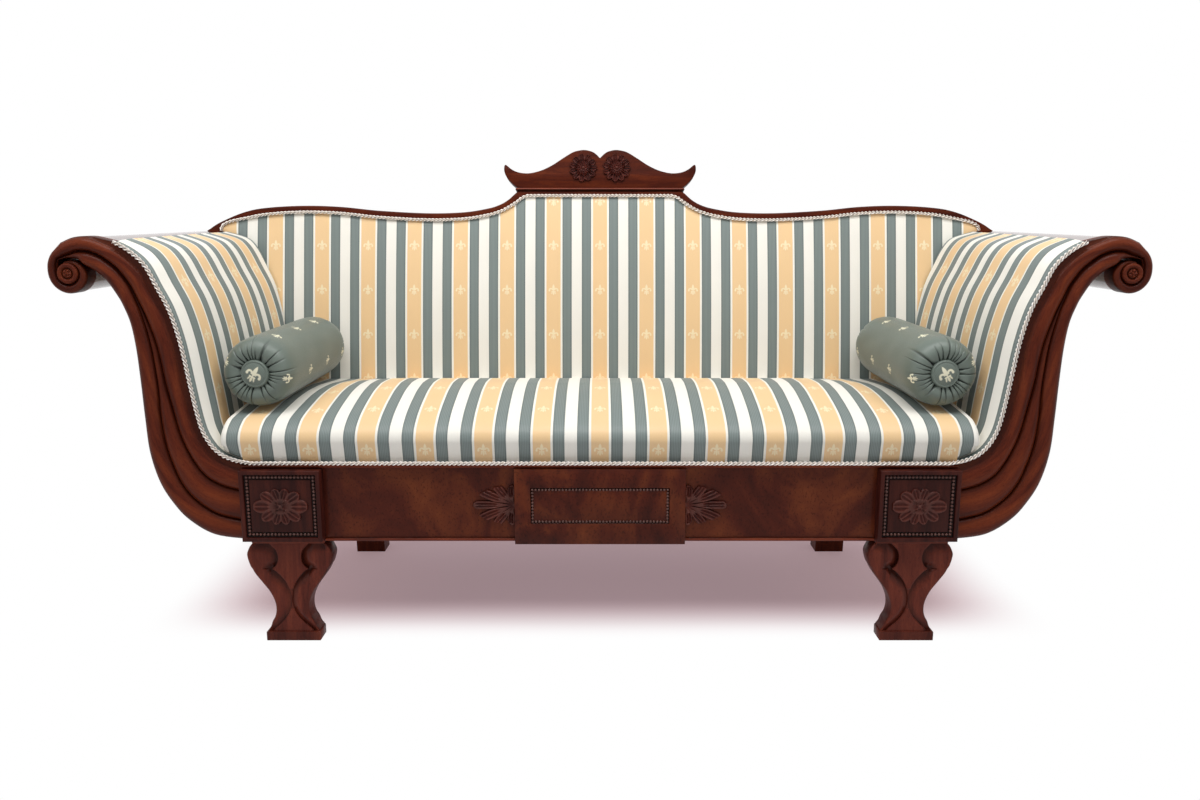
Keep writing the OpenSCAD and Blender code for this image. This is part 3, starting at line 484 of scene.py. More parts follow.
# what the woods share; each wood below names only what differs
plainWood = {"grain": grainAlong("x"), "figure": 5.0, "flame": 0.5, "streak": 0.45, "rough": 0.32,
             "coat": 0.07, "gloss": 0.06}
woods = {
    "mahogany": {"dark": (0.046, 0.0068, 0.0030), "mid": (0.102, 0.0165, 0.0062),
                 "light": (0.168, 0.0330, 0.0105)},
    "leg": {"dark": (0.048, 0.0084, 0.0052), "mid": (0.104, 0.0190, 0.0108), "light": (0.170, 0.0350, 0.0175),
            "grain": grainAlong("z"), "flame": 0.4, "streak": 0.40, "coat": 0.09, "gloss": 0.07},
    # shaded is the mahogany at half its brightness: a painted shade on the carved blocks, flowers and
    # palmettes
    "shaded": {"dark": (0.024, 0.0048, 0.0036), "mid": (0.050, 0.0096, 0.0066),
               "light": (0.088, 0.0185, 0.0110), "grain": grainAlong("z"), "flame": 0.4, "streak": 0.30,
               "rough": 0.30, "coat": 0.09},
    # crest is a darker copy of the mahogany: a painted shade against the stronger light on the crest and top
    # rail
    "crest": {"dark": (0.032, 0.0046, 0.0018), "mid": (0.066, 0.0094, 0.0028),
              "light": (0.116, 0.0200, 0.0048), "coat": 0.05, "gloss": 0.05},
    "roll": {"dark": (0.040, 0.0070, 0.0040), "mid": (0.080, 0.0150, 0.0070),
             "light": (0.130, 0.0300, 0.0120), "grain": grainAlong("y"), "figure": 4.0, "flame": 0.3,
             "rough": 0.26, "coat": 1.0, "gloss": 0.5},
    # bead is a lighter, greyer copy of the mahogany: a painted highlight on the beads, besides their gloss
    "bead": {"dark": (0.060, 0.0200, 0.0150), "mid": (0.110, 0.0400, 0.0300),
             "light": (0.150, 0.0600, 0.0450), "figure": 4.0, "flame": 0.3, "streak": 0.30, "rough": 0.26,
             "coat": 0.35, "gloss": 0.2},
    "flameVeneer": {"dark": (0.030, 0.0052, 0.0032), "mid": (0.080, 0.0135, 0.0062),
                    "light": (0.190, 0.0440, 0.0130), "grain": (2.2, 9.0, 1.3), "figure": 3.0, "flame": 1.2,
                    "streak": 0.20, "rough": 0.30, "coat": 0.09},
    "beech": {"dark": (0.33, 0.20, 0.105), "mid": (0.46, 0.30, 0.17), "light": (0.56, 0.39, 0.24),
              "grain": grainAlong("x", 12.0), "figure": 7.0, "flame": 0.3, "rough": 0.6, "coat": 0.0,
              "gloss": 0.3},
}
# a painted highlight: the pale tone mixed onto the highest carved edges
ridgeHighlight = (0.140, 0.074, 0.060)


def woodMaterial(name, wood, grain=None, alongUv=False, carved=False):
    look = {**plainWood, **woods[wood]}
    desk = Desk(bpy.data.materials.new(name))
    if alongUv:
        place = desk.placed(desk.uvPlace(), (9.0, 1.0, 1.0))
    else:
        place = desk.placed(desk.objectPlace(), grain or look["grain"])
    cloud = desk.noise(place, look["figure"], 3.0, 0.55, 1.4 * look["flame"])
    streak = desk.noise(place, 34.0, 4.0, 0.6, 0.4)
    pores = desk.noise(place, 130.0, 2.0, 0.6)
    tone = desk.clamped(cloud * 1.25 + streak * look["streak"] - 0.125 - look["streak"] * 0.5)
    colour = desk.ramp(tone, [(0.20, look["dark"]), (0.48, look["mid"]), (0.82, look["light"])])
    pit = desk.below(pores, 0.40, 0.05)
    colour = desk.mixed(colour, tuple(0.45 * c for c in look["dark"]), pit * 0.4)
    if carved:
        # painted shade in the hollows and a painted highlight on the ridges, from the shading attribute
        height = desk.paintedShading()
        colour = desk.dimmed(colour, 0.20 + height * 1.6)
        colour = desk.mixed(colour, ridgeHighlight, desk.clamped((height - 0.80) * 4.0) * 0.45)
    bumps = desk.bump(pores * 0.4 + streak * 0.6, 0.10, 0.0005)
    rough = look["rough"] + streak * 0.10 + pit * 0.1
    return desk.finish({"Base Color": colour, "Roughness": rough, "Coat Weight": look["coat"],
                        "Coat Roughness": 0.14, "Specular IOR Level": look["gloss"], "Normal": bumps})


plainUp = woodMaterial("mahoganyUp", "mahogany", grainAlong("z"))
rollWood = woodMaterial("mahoganyRoll", "roll")
reedWood = woodMaterial("mahoganyReeds", "mahogany", alongUv=True, carved=True)
legWood = woodMaterial("mahoganyLegs", "leg", carved=True)
slabWood = woodMaterial("mahoganySlabs", "leg", grainAlong("x"))
beadWood = woodMaterial("mahoganyBeads", "bead")
carvedBrown = woodMaterial("mahoganyBrown", "mahogany", carved=True)
carvedWood = woodMaterial("mahoganyCarved", "shaded", carved=True)
crestWood = woodMaterial("mahoganyCrest", "crest")
flameVeneer = woodMaterial("flameVeneer", "flameVeneer")
flameCarved = woodMaterial("flamePanel", "flameVeneer", carved=True)
beech = woodMaterial("beechAcross", "beech")
beechUp = woodMaterial("beechUp", "beech", grainAlong("z", 12.0))
beechDeep = woodMaterial("beechDeep", "beech", grainAlong("y", 12.0))


# cloth

def leaf(x, y, middle, low, width, height):
    # a pointed leaf: positive inside, in shares of its half width
    up = (y - low) / height
    return (width * (1.0 - up * up) - abs(x - middle)) / 1.2


def lily(desk, x, y):
    # a small woven lily flower, every size in millimetres, x and y from its middle
    side = abs(x)
    petal = desk.clamped(leaf(side, y, 0.0, 4.4, 3.5, 9.4))
    dx = side - 6.4
    dy = y + 0.8
    ring = (2.1 - abs((dx * dx + dy * dy) ** 0.5 - 3.6)) / 1.1
    curl = desk.clamped(ring) * desk.below(0.0 - dy, 0.4, 1.2)
    ex = side - 10.0
    ey = y + 2.2
    drop = desk.clamped((2.6 - (ex * ex + ey * ey) ** 0.5) / 1.1)
    bar = desk.below(side, 5.0, 1.0) * desk.below(abs(y + 4.6), 1.3, 1.0)
    foot = desk.clamped(leaf(side, y, 0.0, -8.8, 2.5, 5.0))
    toe = desk.clamped(leaf(side + (y + 6.0) * 0.30, y, 3.4, -8.0, 1.9, 3.8))
    return desk.clamped(petal + curl + drop + bar + foot + toe)


def lilies(desk, u, v, wide, high):
    # one flower in the middle of each repeat; the repeat is in metres
    return lily(desk, desk.centred(u, wide) * 1000.0, desk.centred(v, high) * 1000.0)


# the edges are distances from the middle of the tan stripe, as shares of the repeat
stripes = {
    "period": 0.113, "tanEdge": 0.152, "borderEdge": 0.192, "greenEdge": 0.391, "motifPitch": 0.108,
    "tan": (0.86, 0.590, 0.310), "motif": (0.94, 0.80, 0.54), "white": (0.90, 0.87, 0.79),
    "green": (0.225, 0.268, 0.256), "greenDark": (0.082, 0.106, 0.100),
}


def stripedCloth(name):
    desk = Desk(bpy.data.materials.new(name))
    u, v = desk.parts(desk.uvPlace())[:2]
    near = desk.maths("PINGPONG", u, stripes["period"] / 2) / stripes["period"]
    soft = 0.006
    tan = desk.below(near, stripes["tanEdge"], soft)
    border = desk.below(near, stripes["borderEdge"], soft)
    green = desk.below(near, stripes["greenEdge"], soft) * (1.0 - border)
    ribs = desk.ribs(u, 0.0016)
    weft = desk.ribs(v, 0.0006)
    cloud = desk.noise(desk.uvPlace(), 7.0, 2.0)
    thread = desk.noise(desk.placed(desk.uvPlace(), (260.0, 1500.0, 1.0)), 1.0, 2.0)
    # the green darkens towards both of its edges
    middle = (stripes["borderEdge"] + stripes["greenEdge"]) / 2
    half = (stripes["greenEdge"] - stripes["borderEdge"]) / 2
    selvedge = desk.clamped((abs(near - middle) / half - 0.66) / 0.34)
    greens = desk.mixed(stripes["green"], stripes["greenDark"], desk.clamped(ribs * 0.62 + selvedge * 0.5))
    motif = lilies(desk, u, v, stripes["period"], stripes["motifPitch"]) * tan
    colour = desk.mixed(stripes["white"], greens, green)
    colour = desk.mixed(colour, stripes["tan"], tan)
    colour = desk.mixed(colour, stripes["motif"], motif * 0.85)
    colour = desk.dimmed(colour, 0.90 + thread * 0.12 + cloud * 0.08)
    height = ribs * (0.35 + green * 0.5) + weft * 0.3 + thread * 0.5 + motif * 1.2
    rough = 0.56 - green * 0.10 - tan * 0.12 + thread * 0.08
    return desk.finish({"Base Color": colour, "Roughness": rough, "Normal": desk.bump(height, 0.35, 0.0004),
                        "Sheen Weight": 0.12, "Sheen Roughness": 0.4})


# crease is near black: a painted shade for the folds
satin = {"base": (0.156, 0.194, 0.164), "dark": (0.088, 0.110, 0.090), "motif": (0.84, 0.80, 0.60),
         "crease": (0.012, 0.015, 0.013), "around": 0.1115, "along": 0.116}


def bolsterCloth(name):
    desk = Desk(bpy.data.materials.new(name))
    u, v = desk.parts(desk.uvPlace())[:2]
    ribs = desk.ribs(u, 0.0011)
    weft = desk.ribs(v, 0.0007)
    cloud = desk.noise(desk.uvPlace(), 9.0, 2.0)
    # the flowers of every second row stand half a repeat further on
    wide, high = satin["around"], satin["along"]
    motif = lilies(desk, u, v, 2 * wide, high) + lilies(desk, u - wide, v - high / 2, 2 * wide, high)
    colour = desk.mixed(satin["base"], satin["dark"], ribs * 0.5 + cloud * 0.3)
    # painted shade in the creases
    colour = desk.mixed(satin["crease"], colour, desk.clamped(desk.paintedShading() * 2.0))
    colour = desk.mixed(colour, satin["motif"], motif)
    height = ribs * 0.8 + weft * 0.3 + motif * 1.4
    rough = 0.37 + motif * 0.2 + cloud * 0.08
    return desk.finish({"Base Color": colour, "Roughness": rough, "Normal": desk.bump(height, 0.35, 0.0004),
                        "Sheen Weight": 0.28, "Sheen Roughness": 0.3})


def cordCloth(name):
    # u is the number of the strand plus a half, v runs along it
    desk = Desk(bpy.data.materials.new(name))
    fibres = desk.noise(desk.placed(desk.uvPlace(), (6.0, 900.0, 1.0)), 1.0, 2.0)
    strand = desk.below(abs(desk.parts(desk.uvPlace())[0] - 1.5), 0.5, 0.05)
    colour = desk.mixed((0.94, 0.87, 0.79), (0.96, 0.92, 0.88), strand)
    colour = desk.mixed(colour, (0.42, 0.30, 0.20), desk.below(fibres, 0.45, 0.2) * 0.22)
    # painted shade between the strands, darkest on their inner sides
    colour = desk.mixed((0.24, 0.15, 0.10), colour, desk.paintedShading())
    return desk.finish({"Base Color": colour, "Roughness": 0.62, "Normal": desk.bump(fibres, 0.5, 0.0004),
                        "Sheen Weight": 0.2})


def plainWeave(name, light, dark, pitch, rough):
    desk = Desk(bpy.data.materials.new(name))
    x, y, z = desk.parts(desk.objectPlace())
    weave = desk.ribs(x + z * 0.37, pitch)
    weft = desk.ribs(y + z * 0.61, pitch)
    speck = desk.noise(desk.objectPlace(), 300.0, 2.0)
    colour = desk.mixed(dark, light, desk.clamped(weave * 0.35 + weft * 0.35 + speck * 0.4))
    return desk.finish({"Base Color": colour, "Roughness": rough + speck * 0.1,
                        "Normal": desk.bump(weave + weft + speck, 0.5, 0.0006)})


def steelWire(name):
    desk = Desk(bpy.data.materials.new(name))
    cloud = desk.noise(desk.objectPlace(), 60.0, 3.0)
    colour = desk.mixed((0.36, 0.24, 0.16), (0.50, 0.47, 0.44), cloud)
    return desk.finish({"Base Color": colour, "Roughness": 0.28 + cloud * 0.25, "Metallic": 1.0})


striped = stripedCloth("stripedCloth")
bolsterSatin = bolsterCloth("bolsterSatin")
cordSilk = cordCloth("cordSilk")
jute = plainWeave("juteWeave", (0.52, 0.40, 0.24), (0.30, 0.22, 0.12), 0.0016, 0.85)
blackCloth = plainWeave("blackLining", (0.045, 0.045, 0.045), (0.015, 0.015, 0.015), 0.0012, 0.8)
steel = steelWire("springSteel")
print("materials made")


# carved arm facings: rows up the arm as shares of its reach and rise, inner and outer edge, two grooves

arm = {
    "rows": [(0.000, 0.268, 0.000, 0.004, 0.375, 0.759), (0.085, 0.286, 0.188, 0.020, 0.367, 0.735),
             (0.138, 0.308, 0.329, 0.070, 0.375, 0.723), (0.176, 0.336, 0.415, 0.129, 0.367, 0.716),
             (0.203, 0.368, 0.482, 0.201, 0.364, 0.682), (0.221, 0.403, 0.524, 0.301, 0.390, 0.683),
             (0.238, 0.452, 0.535, 0.418, 0.434, 0.683), (0.262, 0.540, 0.541, 0.528, 0.494, 0.653),
             (0.294, 0.661, 0.550, 0.639, 0.529, 0.660), (0.341, 0.764, 0.568, 0.722, 0.590, 0.675),
             (0.400, 0.838, 0.600, 0.778, 0.590, 0.635), (0.450, 0.900, 0.626, 0.809, 0.584, 0.610),
             (0.515, 0.941, 0.674, 0.853, 0.570, 0.595), (0.600, 0.973, 0.715, 0.878, 0.552, 0.577),
             (0.685, 0.988, 0.750, 0.893, 0.500, 0.530), (0.765, 0.997, 0.788, 0.905, 0.500, 0.530),
             (0.847, 0.993, 0.826, 0.925, 0.620, 0.660), (0.915, 0.977, 0.885, 0.930, 0.820, 0.870)],
    "eye": (0.885, 0.881),
    "scrollRadius": 0.0652 * settee["armRise"],
    # the scroll's angle, how much of the way in to the tail is left, and how far its hole reaches out
    "scroll": [(60, 1.62, 0.60), (30, 1.22, 0.20), (5, 1.00, 0.03), (-30, 0.93, 0), (-90, 0.95, 0),
               (-135, 0.84, 0), (-180, 0.74, 0), (-215, 0.44, 0), (-240, 0.24, 0), (-270, 0.06, 0),
               (-290, 0, 0)],
    "boss": 0.0165, "bossRim": 0.0202, "bossHeight": 0.007, "eyeGap": 0.0008, "tail": 0.005,
    "reed": 0.009, "groove": 0.004, "fillet": 0.017,
    # shares of the way up: where the bare roll starts and the cloth ends, where the cloth thins and lies down
    "rollStart": 0.706, "padEnd": 0.7765, "padThins": 0.53, "padEases": 0.68,
    "pad": 0.038, "padTip": 0.005, "cover": 0.010, "inset": 0.002,
    "edge": 0.003, "round": 0.016, "roundY": 0.060, "extra": 0.012, "lip": 0.008,
    # how far the cloth's pattern is shifted, from the front and from the bottom
    "patternIn": 0.079, "patternUp": 0.060,
}
lastRow = len(arm["rows"]) - 1
padEnd = arm["padEnd"] * lastRow
rollStart = arm["rollStart"] * lastRow
tailRadius = arm["boss"] + arm["eyeGap"] + arm["tail"]
gap = 0.0004
sides = (("left", -1), ("right", 1))


def sharePoint(a, b):
    return (armX + a * settee["armReach"], settee["railZ"] + b * settee["armRise"])


def bandIn(t):
    return sharePoint(*curveAt(arm["rows"], t)[0:2])


def bandOut(t):
    return sharePoint(*curveAt(arm["rows"], t)[2:4])


def partWay(a, b, share):
    # the point at a share of the way from a to b
    return (a[0] + (b[0] - a[0]) * share, a[1] + (b[1] - a[1]) * share)


def ringAt(side, line, placeOf):
    # a ring of points: placeOf turns the first number of each pair into x and z, the second is y
    ring = []
    for d, y in line:
        x, z = placeOf(d)
        ring.append(at(side * x, y, z))
    return ring


def fromIn(t, d):
    # a point at distance d from the band's inner edge
    a, b = bandIn(t), bandOut(t)
    return partWay(a, b, d / math.dist(a, b))


def fromOut(t, d):
    a, b = bandIn(t), bandOut(t)
    return partWay(b, a, d / math.dist(a, b))


eye = sharePoint(*arm["eye"])
scrollRows = curve(arm["scroll"], 7)


def polar(r, angle):
    return (eye[0] + r * math.cos(math.radians(angle)), eye[1] + r * math.sin(math.radians(angle)))


def scrollEdge(share):
    return tailRadius + (arm["scrollRadius"] - tailRadius) * share


def padDepth(t):
    thinned = smooth((t / lastRow - arm["padThins"]) / (arm["padEnd"] - arm["padThins"]))
    return arm["pad"] + (arm["padTip"] - arm["pad"]) * thinned


def padFull(t):
    return 0.35 + 0.65 * smooth(t / lastRow / 0.3)


def reedProfile(width, fillet, first, second):
    # share of the width and depth of each point across the reeds, from the cloth's side outwards
    edge = arm["groove"] / 2
    flat = fillet / width
    points = [(0, settee["facing"]), (0, edge * 1.6), (0.006, edge), (flat * 0.9, 0.0002)]
    for start, stop in ((flat, first), (first, second), (second, 1.0)):
        height = min(arm["reed"], (stop - start) * width * 0.36)
        low = 0.0005 if start == flat else arm["groove"]
        for k in range(1, 15):
            s = 0.5 - 0.5 * math.cos(math.pi * k / 14)
            base = low + (arm["groove"] - low) * s
            points.append((start + (stop - start) * s, base - (height + base) * math.sin(math.pi * s) ** 0.5))
    points.append((1, settee["facing"]))
    return points


def facingRows(side):
    marks = []
    for t in between(0, lastRow, lastRow * 6):
        shares = curveAt(arm["rows"], t)
        a, b = bandIn(t), bandOut(t)
        fillet = arm["fillet"] * (1 - 0.9 * smooth((t / lastRow - 0.65) / 0.3))
        marks.append((a, b, reedProfile(math.dist(a, b), fillet, shares[4], shares[5])))
    for angle, left, hole in scrollRows[1:]:
        a = polar(scrollEdge(left), angle)
        b = polar(arm["boss"] + arm["eyeGap"] + (arm["scrollRadius"] - arm["boss"]) * hole, angle)
        marks.append((a, b, reedProfile(math.dist(a, b), arm["fillet"] * 0.05, 0.82, 0.87)))
    return [ringAt(side, profile, lambda s: partWay(a, b, s)) for a, b, profile in marks]


# painted shade in the grooves and a slight painted highlight on the reeds, by their depth behind the face
reedShading = [(-0.009, 0.60), (-0.006, 0.50), (-0.002, 0.36), (0.001, 0.18), (0.004, 0.03), (0.006, 0.26),
            (0.012, 0.46)]
for word, side in sides:
    rings = facingRows(side)
    run = lengths([(ring[0] + ring[-1]) / 2 for ring in rings])
    span = [lengths(ring) for ring in rings]

    def facingUv(i, j):
        # the face that closes the ring ends at one place all along
        return (span[i][j] if j < len(span[i]) else 0.16, run[i])

    facing = surface("armFacing_" + word, rings, facingUv, closed=True, angle=50)
    shadeByDepth(facing, settee["front"], reedShading)
    dress(facing, reedWood, "arm_facing_" + word)
print("arm facings made")


# the turned boss in each scroll's eye: spun about an axis that points to the front, with a ring of lobes

bossProfile = [(0.0, 1.08), (0.08, 1.04), (0.14, 0.70), (0.20, 0.74), (0.30, 0.84), (0.40, 0.60),
               (0.45, 0.28), (0.50, 0.26), (0.56, 0.60), (0.66, 0.86), (0.80, 0.90), (0.92, 0.72),
               (0.98, 0.3), (1.0, -0.4)]
bossTurn = {"steps": 60, "lobes": 5, "lobeDepth": 0.34, "lobeAt": 0.27, "lobeWide": 0.09}


def turnedBoss(name, centre):
    radius, height, depth = arm["bossRim"], arm["bossHeight"], settee["facing"]
    points = [(p[0] * radius, p[1] * height) for p in curve(bossProfile, 3)]
    points += [(radius, -depth), (0.0, -depth)]
    rows = []
    for k in range(bossTurn["steps"]):
        a = 2 * math.pi * k / bossTurn["steps"]
        row = []
        for r, h in points:
            ring = math.exp(-((r / radius - bossTurn["lobeAt"]) / bossTurn["lobeWide"]) ** 2)
            lobe = 1 + bossTurn["lobeDepth"] * ring * math.cos(bossTurn["lobes"] * a)
            row.append(centre + Vector((r * math.cos(a), -h * lobe, r * math.sin(a))))
        rows.append(row)
    piece = surface(name, rows + rows[:1])
    faceOut(piece, 50, weld=True)
    return piece


for word, side in sides:
    boss = turnedBoss("scrollBoss_" + word, at(side * eye[0], 0, eye[1]))
    # painted shade, darker the deeper a point lies behind the boss's top
    setShading(boss, lambda co: 0.16 + 0.40 * smooth((settee["front"] + 0.0005 - co.y) / arm["bossHeight"]))
    dress(boss, carvedBrown, "scroll_boss_" + word)


# polished rolls behind the facings

rollTop = [fromIn(t, padDepth(t)) for t in between(rollStart, padEnd, 6)]
rollTop += [fromIn(t, arm["inset"]) for t in between(padEnd * 1.008, lastRow, 24)]
rollOutline = rollTop + [polar(scrollEdge(left) - arm["inset"], angle)
                         for angle, left, hole in scrollRows if angle > -225]
rollOutline += [polar(tailRadius, -260)]
rollOutline += [fromOut(t, arm["inset"]) for t in between(lastRow * 0.94, rollStart, 20)]
for word, side in sides:
    rows = [[at(side * x, settee["facing"], z) for x, z in rollOutline],
            [at(side * x, planeY(z, settee["frameIn"]), z) for x, z in rollOutline]]
    roll = surface("armRoll_" + word, rows, closed=True, angle=35)
    dress(roll, rollWood, "arm_roll_" + word)
print("scrolls made")


# upholstery on the inside and the outside of the arms

def arcPoints(a, corner, b, count):
    return [tuple(a[k] * (1 - s) ** 2 + corner[k] * 2 * s * (1 - s) + b[k] * s * s for k in (0, 1))
            for s in between(0, 1, count)]


def armStand(t, y, deep):
    # how far the cloth stands over the inner edge: rounded at the front, fuller towards the back
    place = t / lastRow
    u = 1 - min(1.0, y / arm["roundY"])
    extra = arm["extra"] * smooth((place - 0.25) / 0.20) * y / deep
    ease = 1 - 0.6 * smooth((place - arm["padEases"]) / (arm["padEnd"] - arm["padEases"]))
    return ((arm["edge"] + (arm["round"] - arm["edge"]) * (1 - u * u)) * padFull(t) + extra) * ease


def armPadRing(side, t):
    thick = padDepth(t)
    deep = planeY(bandIn(t)[1], -0.002) - 0.001
    far = deep - 2 * arm["lip"]
    near = 0.004
    edge, high = armStand(t, 0, deep), armStand(t, deep, deep)
    front = [(-gap, gap)] + arcPoints((-edge * 0.4, gap), (-edge, gap), (-armStand(t, near, deep), near), 4)
    steps = between(near, arm["roundY"], 10)[1:] + between(arm["roundY"], far, 18)[1:]
    over = [(-armStand(t, y, deep), y) for y in steps]
    rear = arcPoints((-armStand(t, far, deep), far), (-high, deep), (-high * 0.6, deep), 5)[1:]
    rear += [(thick - gap, deep), (thick - gap, settee["facing"] + gap), (-gap, settee["facing"] + gap)]
    return ringAt(side, front + over + rear, lambda d: fromIn(t, d))


def armCoverRing(side, t):
    front = settee["facing"]
    deep = planeY(bandOut(t)[1], settee["frameIn"]) - 0.0005
    line = [(arm["cover"], front + gap), (0.002, front + gap), (0, front + 0.002)]
    line += [(0.001 - 0.001 * math.sin(math.pi * s), front + (deep - front) * s)
             for s in between(0, 1, 10)[1:-1]]
    line += [(0, deep - 0.002), (0.002, deep), (arm["cover"], deep)]
    return ringAt(side, line, lambda d: fromOut(t, arm["inset"] + d))


padTs = between(0, padEnd, 84)
coverTs = between(0, rollStart * 0.992, 60)
padRun = lengths([bandIn(t) for t in padTs])
coverRun = lengths([bandOut(t) for t in coverTs])
for word, side in sides:
    padRings = [armPadRing(side, t) for t in padTs]
    padSpans = [lengths(ring) for ring in padRings]
    coverRings = [armCoverRing(side, t) for t in coverTs]

    def padUv(i, j):
        return (padSpans[i][j % len(padRings[i])] - arm["patternIn"], padRun[i] - arm["patternUp"])

    def coverUv(i, j):
        return (coverRings[i][j % len(coverRings[i])].y - settee["front"] - arm["patternIn"], coverRun[i])

    pad = surface("armPad_" + word, padRings, padUv, closed=True)
    upholster(pad, "arm_pad_" + word)
    cover = surface("armCover_" + word, coverRings, coverUv, closed=True)
    upholster(cover, "arm_cover_" + word)
print("arm upholstery made")


# back: the edge of the upholstery and of the rail as shares of the tip's distance and the back's height

back = {
    "tip": armX + settee["armReach"] * 0.756,
    "neck": 1.0246,                          # height of the rail's raised middle
    # shares of the tip's distance: the cloth's corner, where the rail meets the roll and where it thins
    "corner": 0.906, "roll": 0.95, "thins": 0.936,
    "boardLow": 0.8,                         # the rear board's lower edge as a share of the back's height
    "pad": 0.028, "swell": 0.010, "low": -0.060, "lip": 0.008, "patternUp": 0.0014,
}
back["rail"] = [(1.006, 0.806), (0.974, 0.852), (0.906, 0.912), (0.843, 0.935), (0.750, 0.944),
                (0.660, 0.937), (0.567, 0.917), (0.443, 0.903), (0.350, 0.908), (0.289, 0.928),
                (0.258, 0.948), (0.235, 0.976), (0.208, back["neck"])]
back["cloth"] = [(0.966, 0.807), (0.961, 0.834), (0.940, 0.857), (0.906, 0.876), (0.843, 0.900),
                 (0.750, 0.910), (0.660, 0.903), (0.567, 0.882), (0.443, 0.868), (0.350, 0.873),
                 (0.289, 0.893), (0.258, 0.912), (0.236, 0.934), (0.212, 0.967), (0.199, 0.988),
                 (0.184, 1.000)]


def scaledCurve(points, steps):
    return curve([(p[0] * back["tip"], p[1] * settee["backRise"]) for p in points], steps)


railEdge = scaledCurve(back["rail"], 8)
clothEdge = scaledCurve(back["cloth"], 8)


def edgeV(edge, x):
    # beyond its first point the edge runs on as it starts
    if x > edge[0][0]:
        a, b = edge[0], edge[1]
        return a[1] + (b[1] - a[1]) * (x - a[0]) / (b[0] - a[0])
    return lookup(x, edge)


def roundCorner(x):
    # how far along the cloth's rounded corner: 0 on the top, 1 down the side
    return smooth((x / back["tip"] - back["corner"]) / 0.05)


def backRing(x, v0, v1, swell):
    high = v1 - v0
    lip = min(back["lip"], high / 4)
    points = [(v0, back["pad"]), (v1, back["pad"])]
    points += arcPoints((v1, lip * 0.9), (v1, 0), (v1 - lip, -swell * 0.1), 4)
    points += [(v1 - high * k / 28, -swell * math.sin(math.pi * k / 28) ** 0.8) for k in range(1, 28)]
    points += [(v0 + lip * 0.5, 0), (v0, lip * 0.8)]
    return [onSlope(x, v, w) for v, w in points]


halfBack = []
for t in between(padEnd * 1.035, padEnd * 0.965, 14) + between(padEnd * 0.955, padEnd * 0.038, 46):
    x, z = fromIn(t, padDepth(t) * 0.5 - 0.003)
    low = slopeOf(z, back["pad"] if t > padEnd else 0)
    halfBack.append(backRing(x, low, edgeV(clothEdge, x) - gap, back["swell"] * 0.2))
inner = [(armX, edgeV(clothEdge, armX))] + [p for p in clothEdge if p[0] < armX]
inner += [(x, settee["backRise"]) for x in between(inner[-1][0], 0, 6)[1:]]
for x, v in inner:
    full = 0.3 + 0.7 * smooth((armX - x) / (armX * 0.4))
    halfBack.append(backRing(x, back["low"], v - gap, back["swell"] * full))
backRings = bothHalves(halfBack)


def backUv(i, j):
    p = backRings[i][j % len(backRings[i])]
    return (p.x, (p.z - settee["backZ"]) / math.cos(rake) - back["patternUp"])


backPad = surface("backPad", backRings, backUv, closed=True)
upholster(backPad, "back_pad")
print("back upholstery made")


# seat: height of its surface from front to back as shares of its depth and crown

seat = {
    "top": [(-0.012, -1.25), (-0.015, -1.00), (-0.010, -0.72), (0.004, -0.46), (0.032, -0.19), (0.090, 0.15),
            (0.160, 0.42), (0.225, 0.62), (0.330, 0.88), (0.430, 0.99), (0.500, 1.00), (0.655, 0.84),
            (0.820, 0.42), (0.940, 0.12), (1.000, 0.00)],
    "crown": 0.036, "ease": 0.6, "half": armX + 0.039, "round": 0.009, "swell": 0.003, "backW": -0.0045,
    "gap": 0.001, "patternIn": 0.035,
    "foot": 0.235,                           # share of the arm's rows that its edge follows
}


def aboveArm(t):
    return fromIn(t, -arm["round"] * padFull(t) - seat["gap"])


seatFloor = [(armX - 0.002, settee["seatZ"]), (armX - 0.001, aboveArm(0)[1])]
seatFloor += [aboveArm(t) for t in between(0, lastRow * seat["foot"], 32)]
seatTop = curve(seat["top"], 5)


def cornerDrop(x):
    u = max(0.0, 1 - (seat["half"] - x) / seat["round"])
    return seat["round"] * (1 - math.sqrt(max(0.0, 1 - u * u)))


def seatRing(x):
    low = lookup(x, seatFloor)
    mid = low + seat["round"]
    crown = seat["crown"] * (1 - seat["ease"] * smooth((x / seat["half"] - 0.6) / 0.35))
    drop = cornerDrop(x)
    draw = seat["swell"] * smooth((seat["half"] - x) / (2 * seat["round"]))
    points = [(planeY(low, seat["backW"]) - seat["gap"], low), (drop + 0.008, low)]
    points += arcPoints((drop + 0.006, low), (drop + 0.004, low), (drop + 0.004 - draw * 0.3, low + 0.004), 3)
    points += [(drop + 0.002 - draw * 0.6, mid)]
    for a, b in seatTop:
        z = max(mid + seat["gap"], settee["backZ"] + b * (crown if b > 0 else seat["crown"]) - drop)
        y = min(a * settee["depth"] + drop * (1 - a), planeY(z, seat["backW"]) - seat["gap"])
        points.append((y, z))
    return [at(x, y, z) for y, z in points]


stations = [seat["half"] - seat["round"] * u for u in (0, 0.03, 0.12, 0.25, 0.4, 0.6, 0.8, 1, 1.4, 1.8)]
stations += [armX - 0.001, armX - 0.002]
stations += [seat["half"] * u for u in between(0.925, 0.0, 70)]
seatRings = bothHalves([seatRing(x) for x in stations])
seatRuns = [lengths(ring[1:]) for ring in seatRings]


def seatUv(i, j):
    # the first point of a ring lies at the back, underneath, where nothing shows
    j = j % len(seatRings[i])
    return (seatRings[i][j].x, (seatRuns[i][j - 1] if j else 0.7) - seat["patternIn"])


seatPad = surface("seatPad", seatRings, seatUv, closed=True)
upholster(seatPad, "seat_pad")
print("seat upholstery made")


# twisted cords

cord = {"radius": 0.0041, "lead": 0.027, "strands": 3, "sides": 8, "steps": 12, "strand": 0.49,
        "lean": (0.72, 0.69),                # how far each strand lies along and across the cord
        "proud": 0.0006, "seatOut": 0.0052}  # how far it lies off the cloth, and further out along the seat


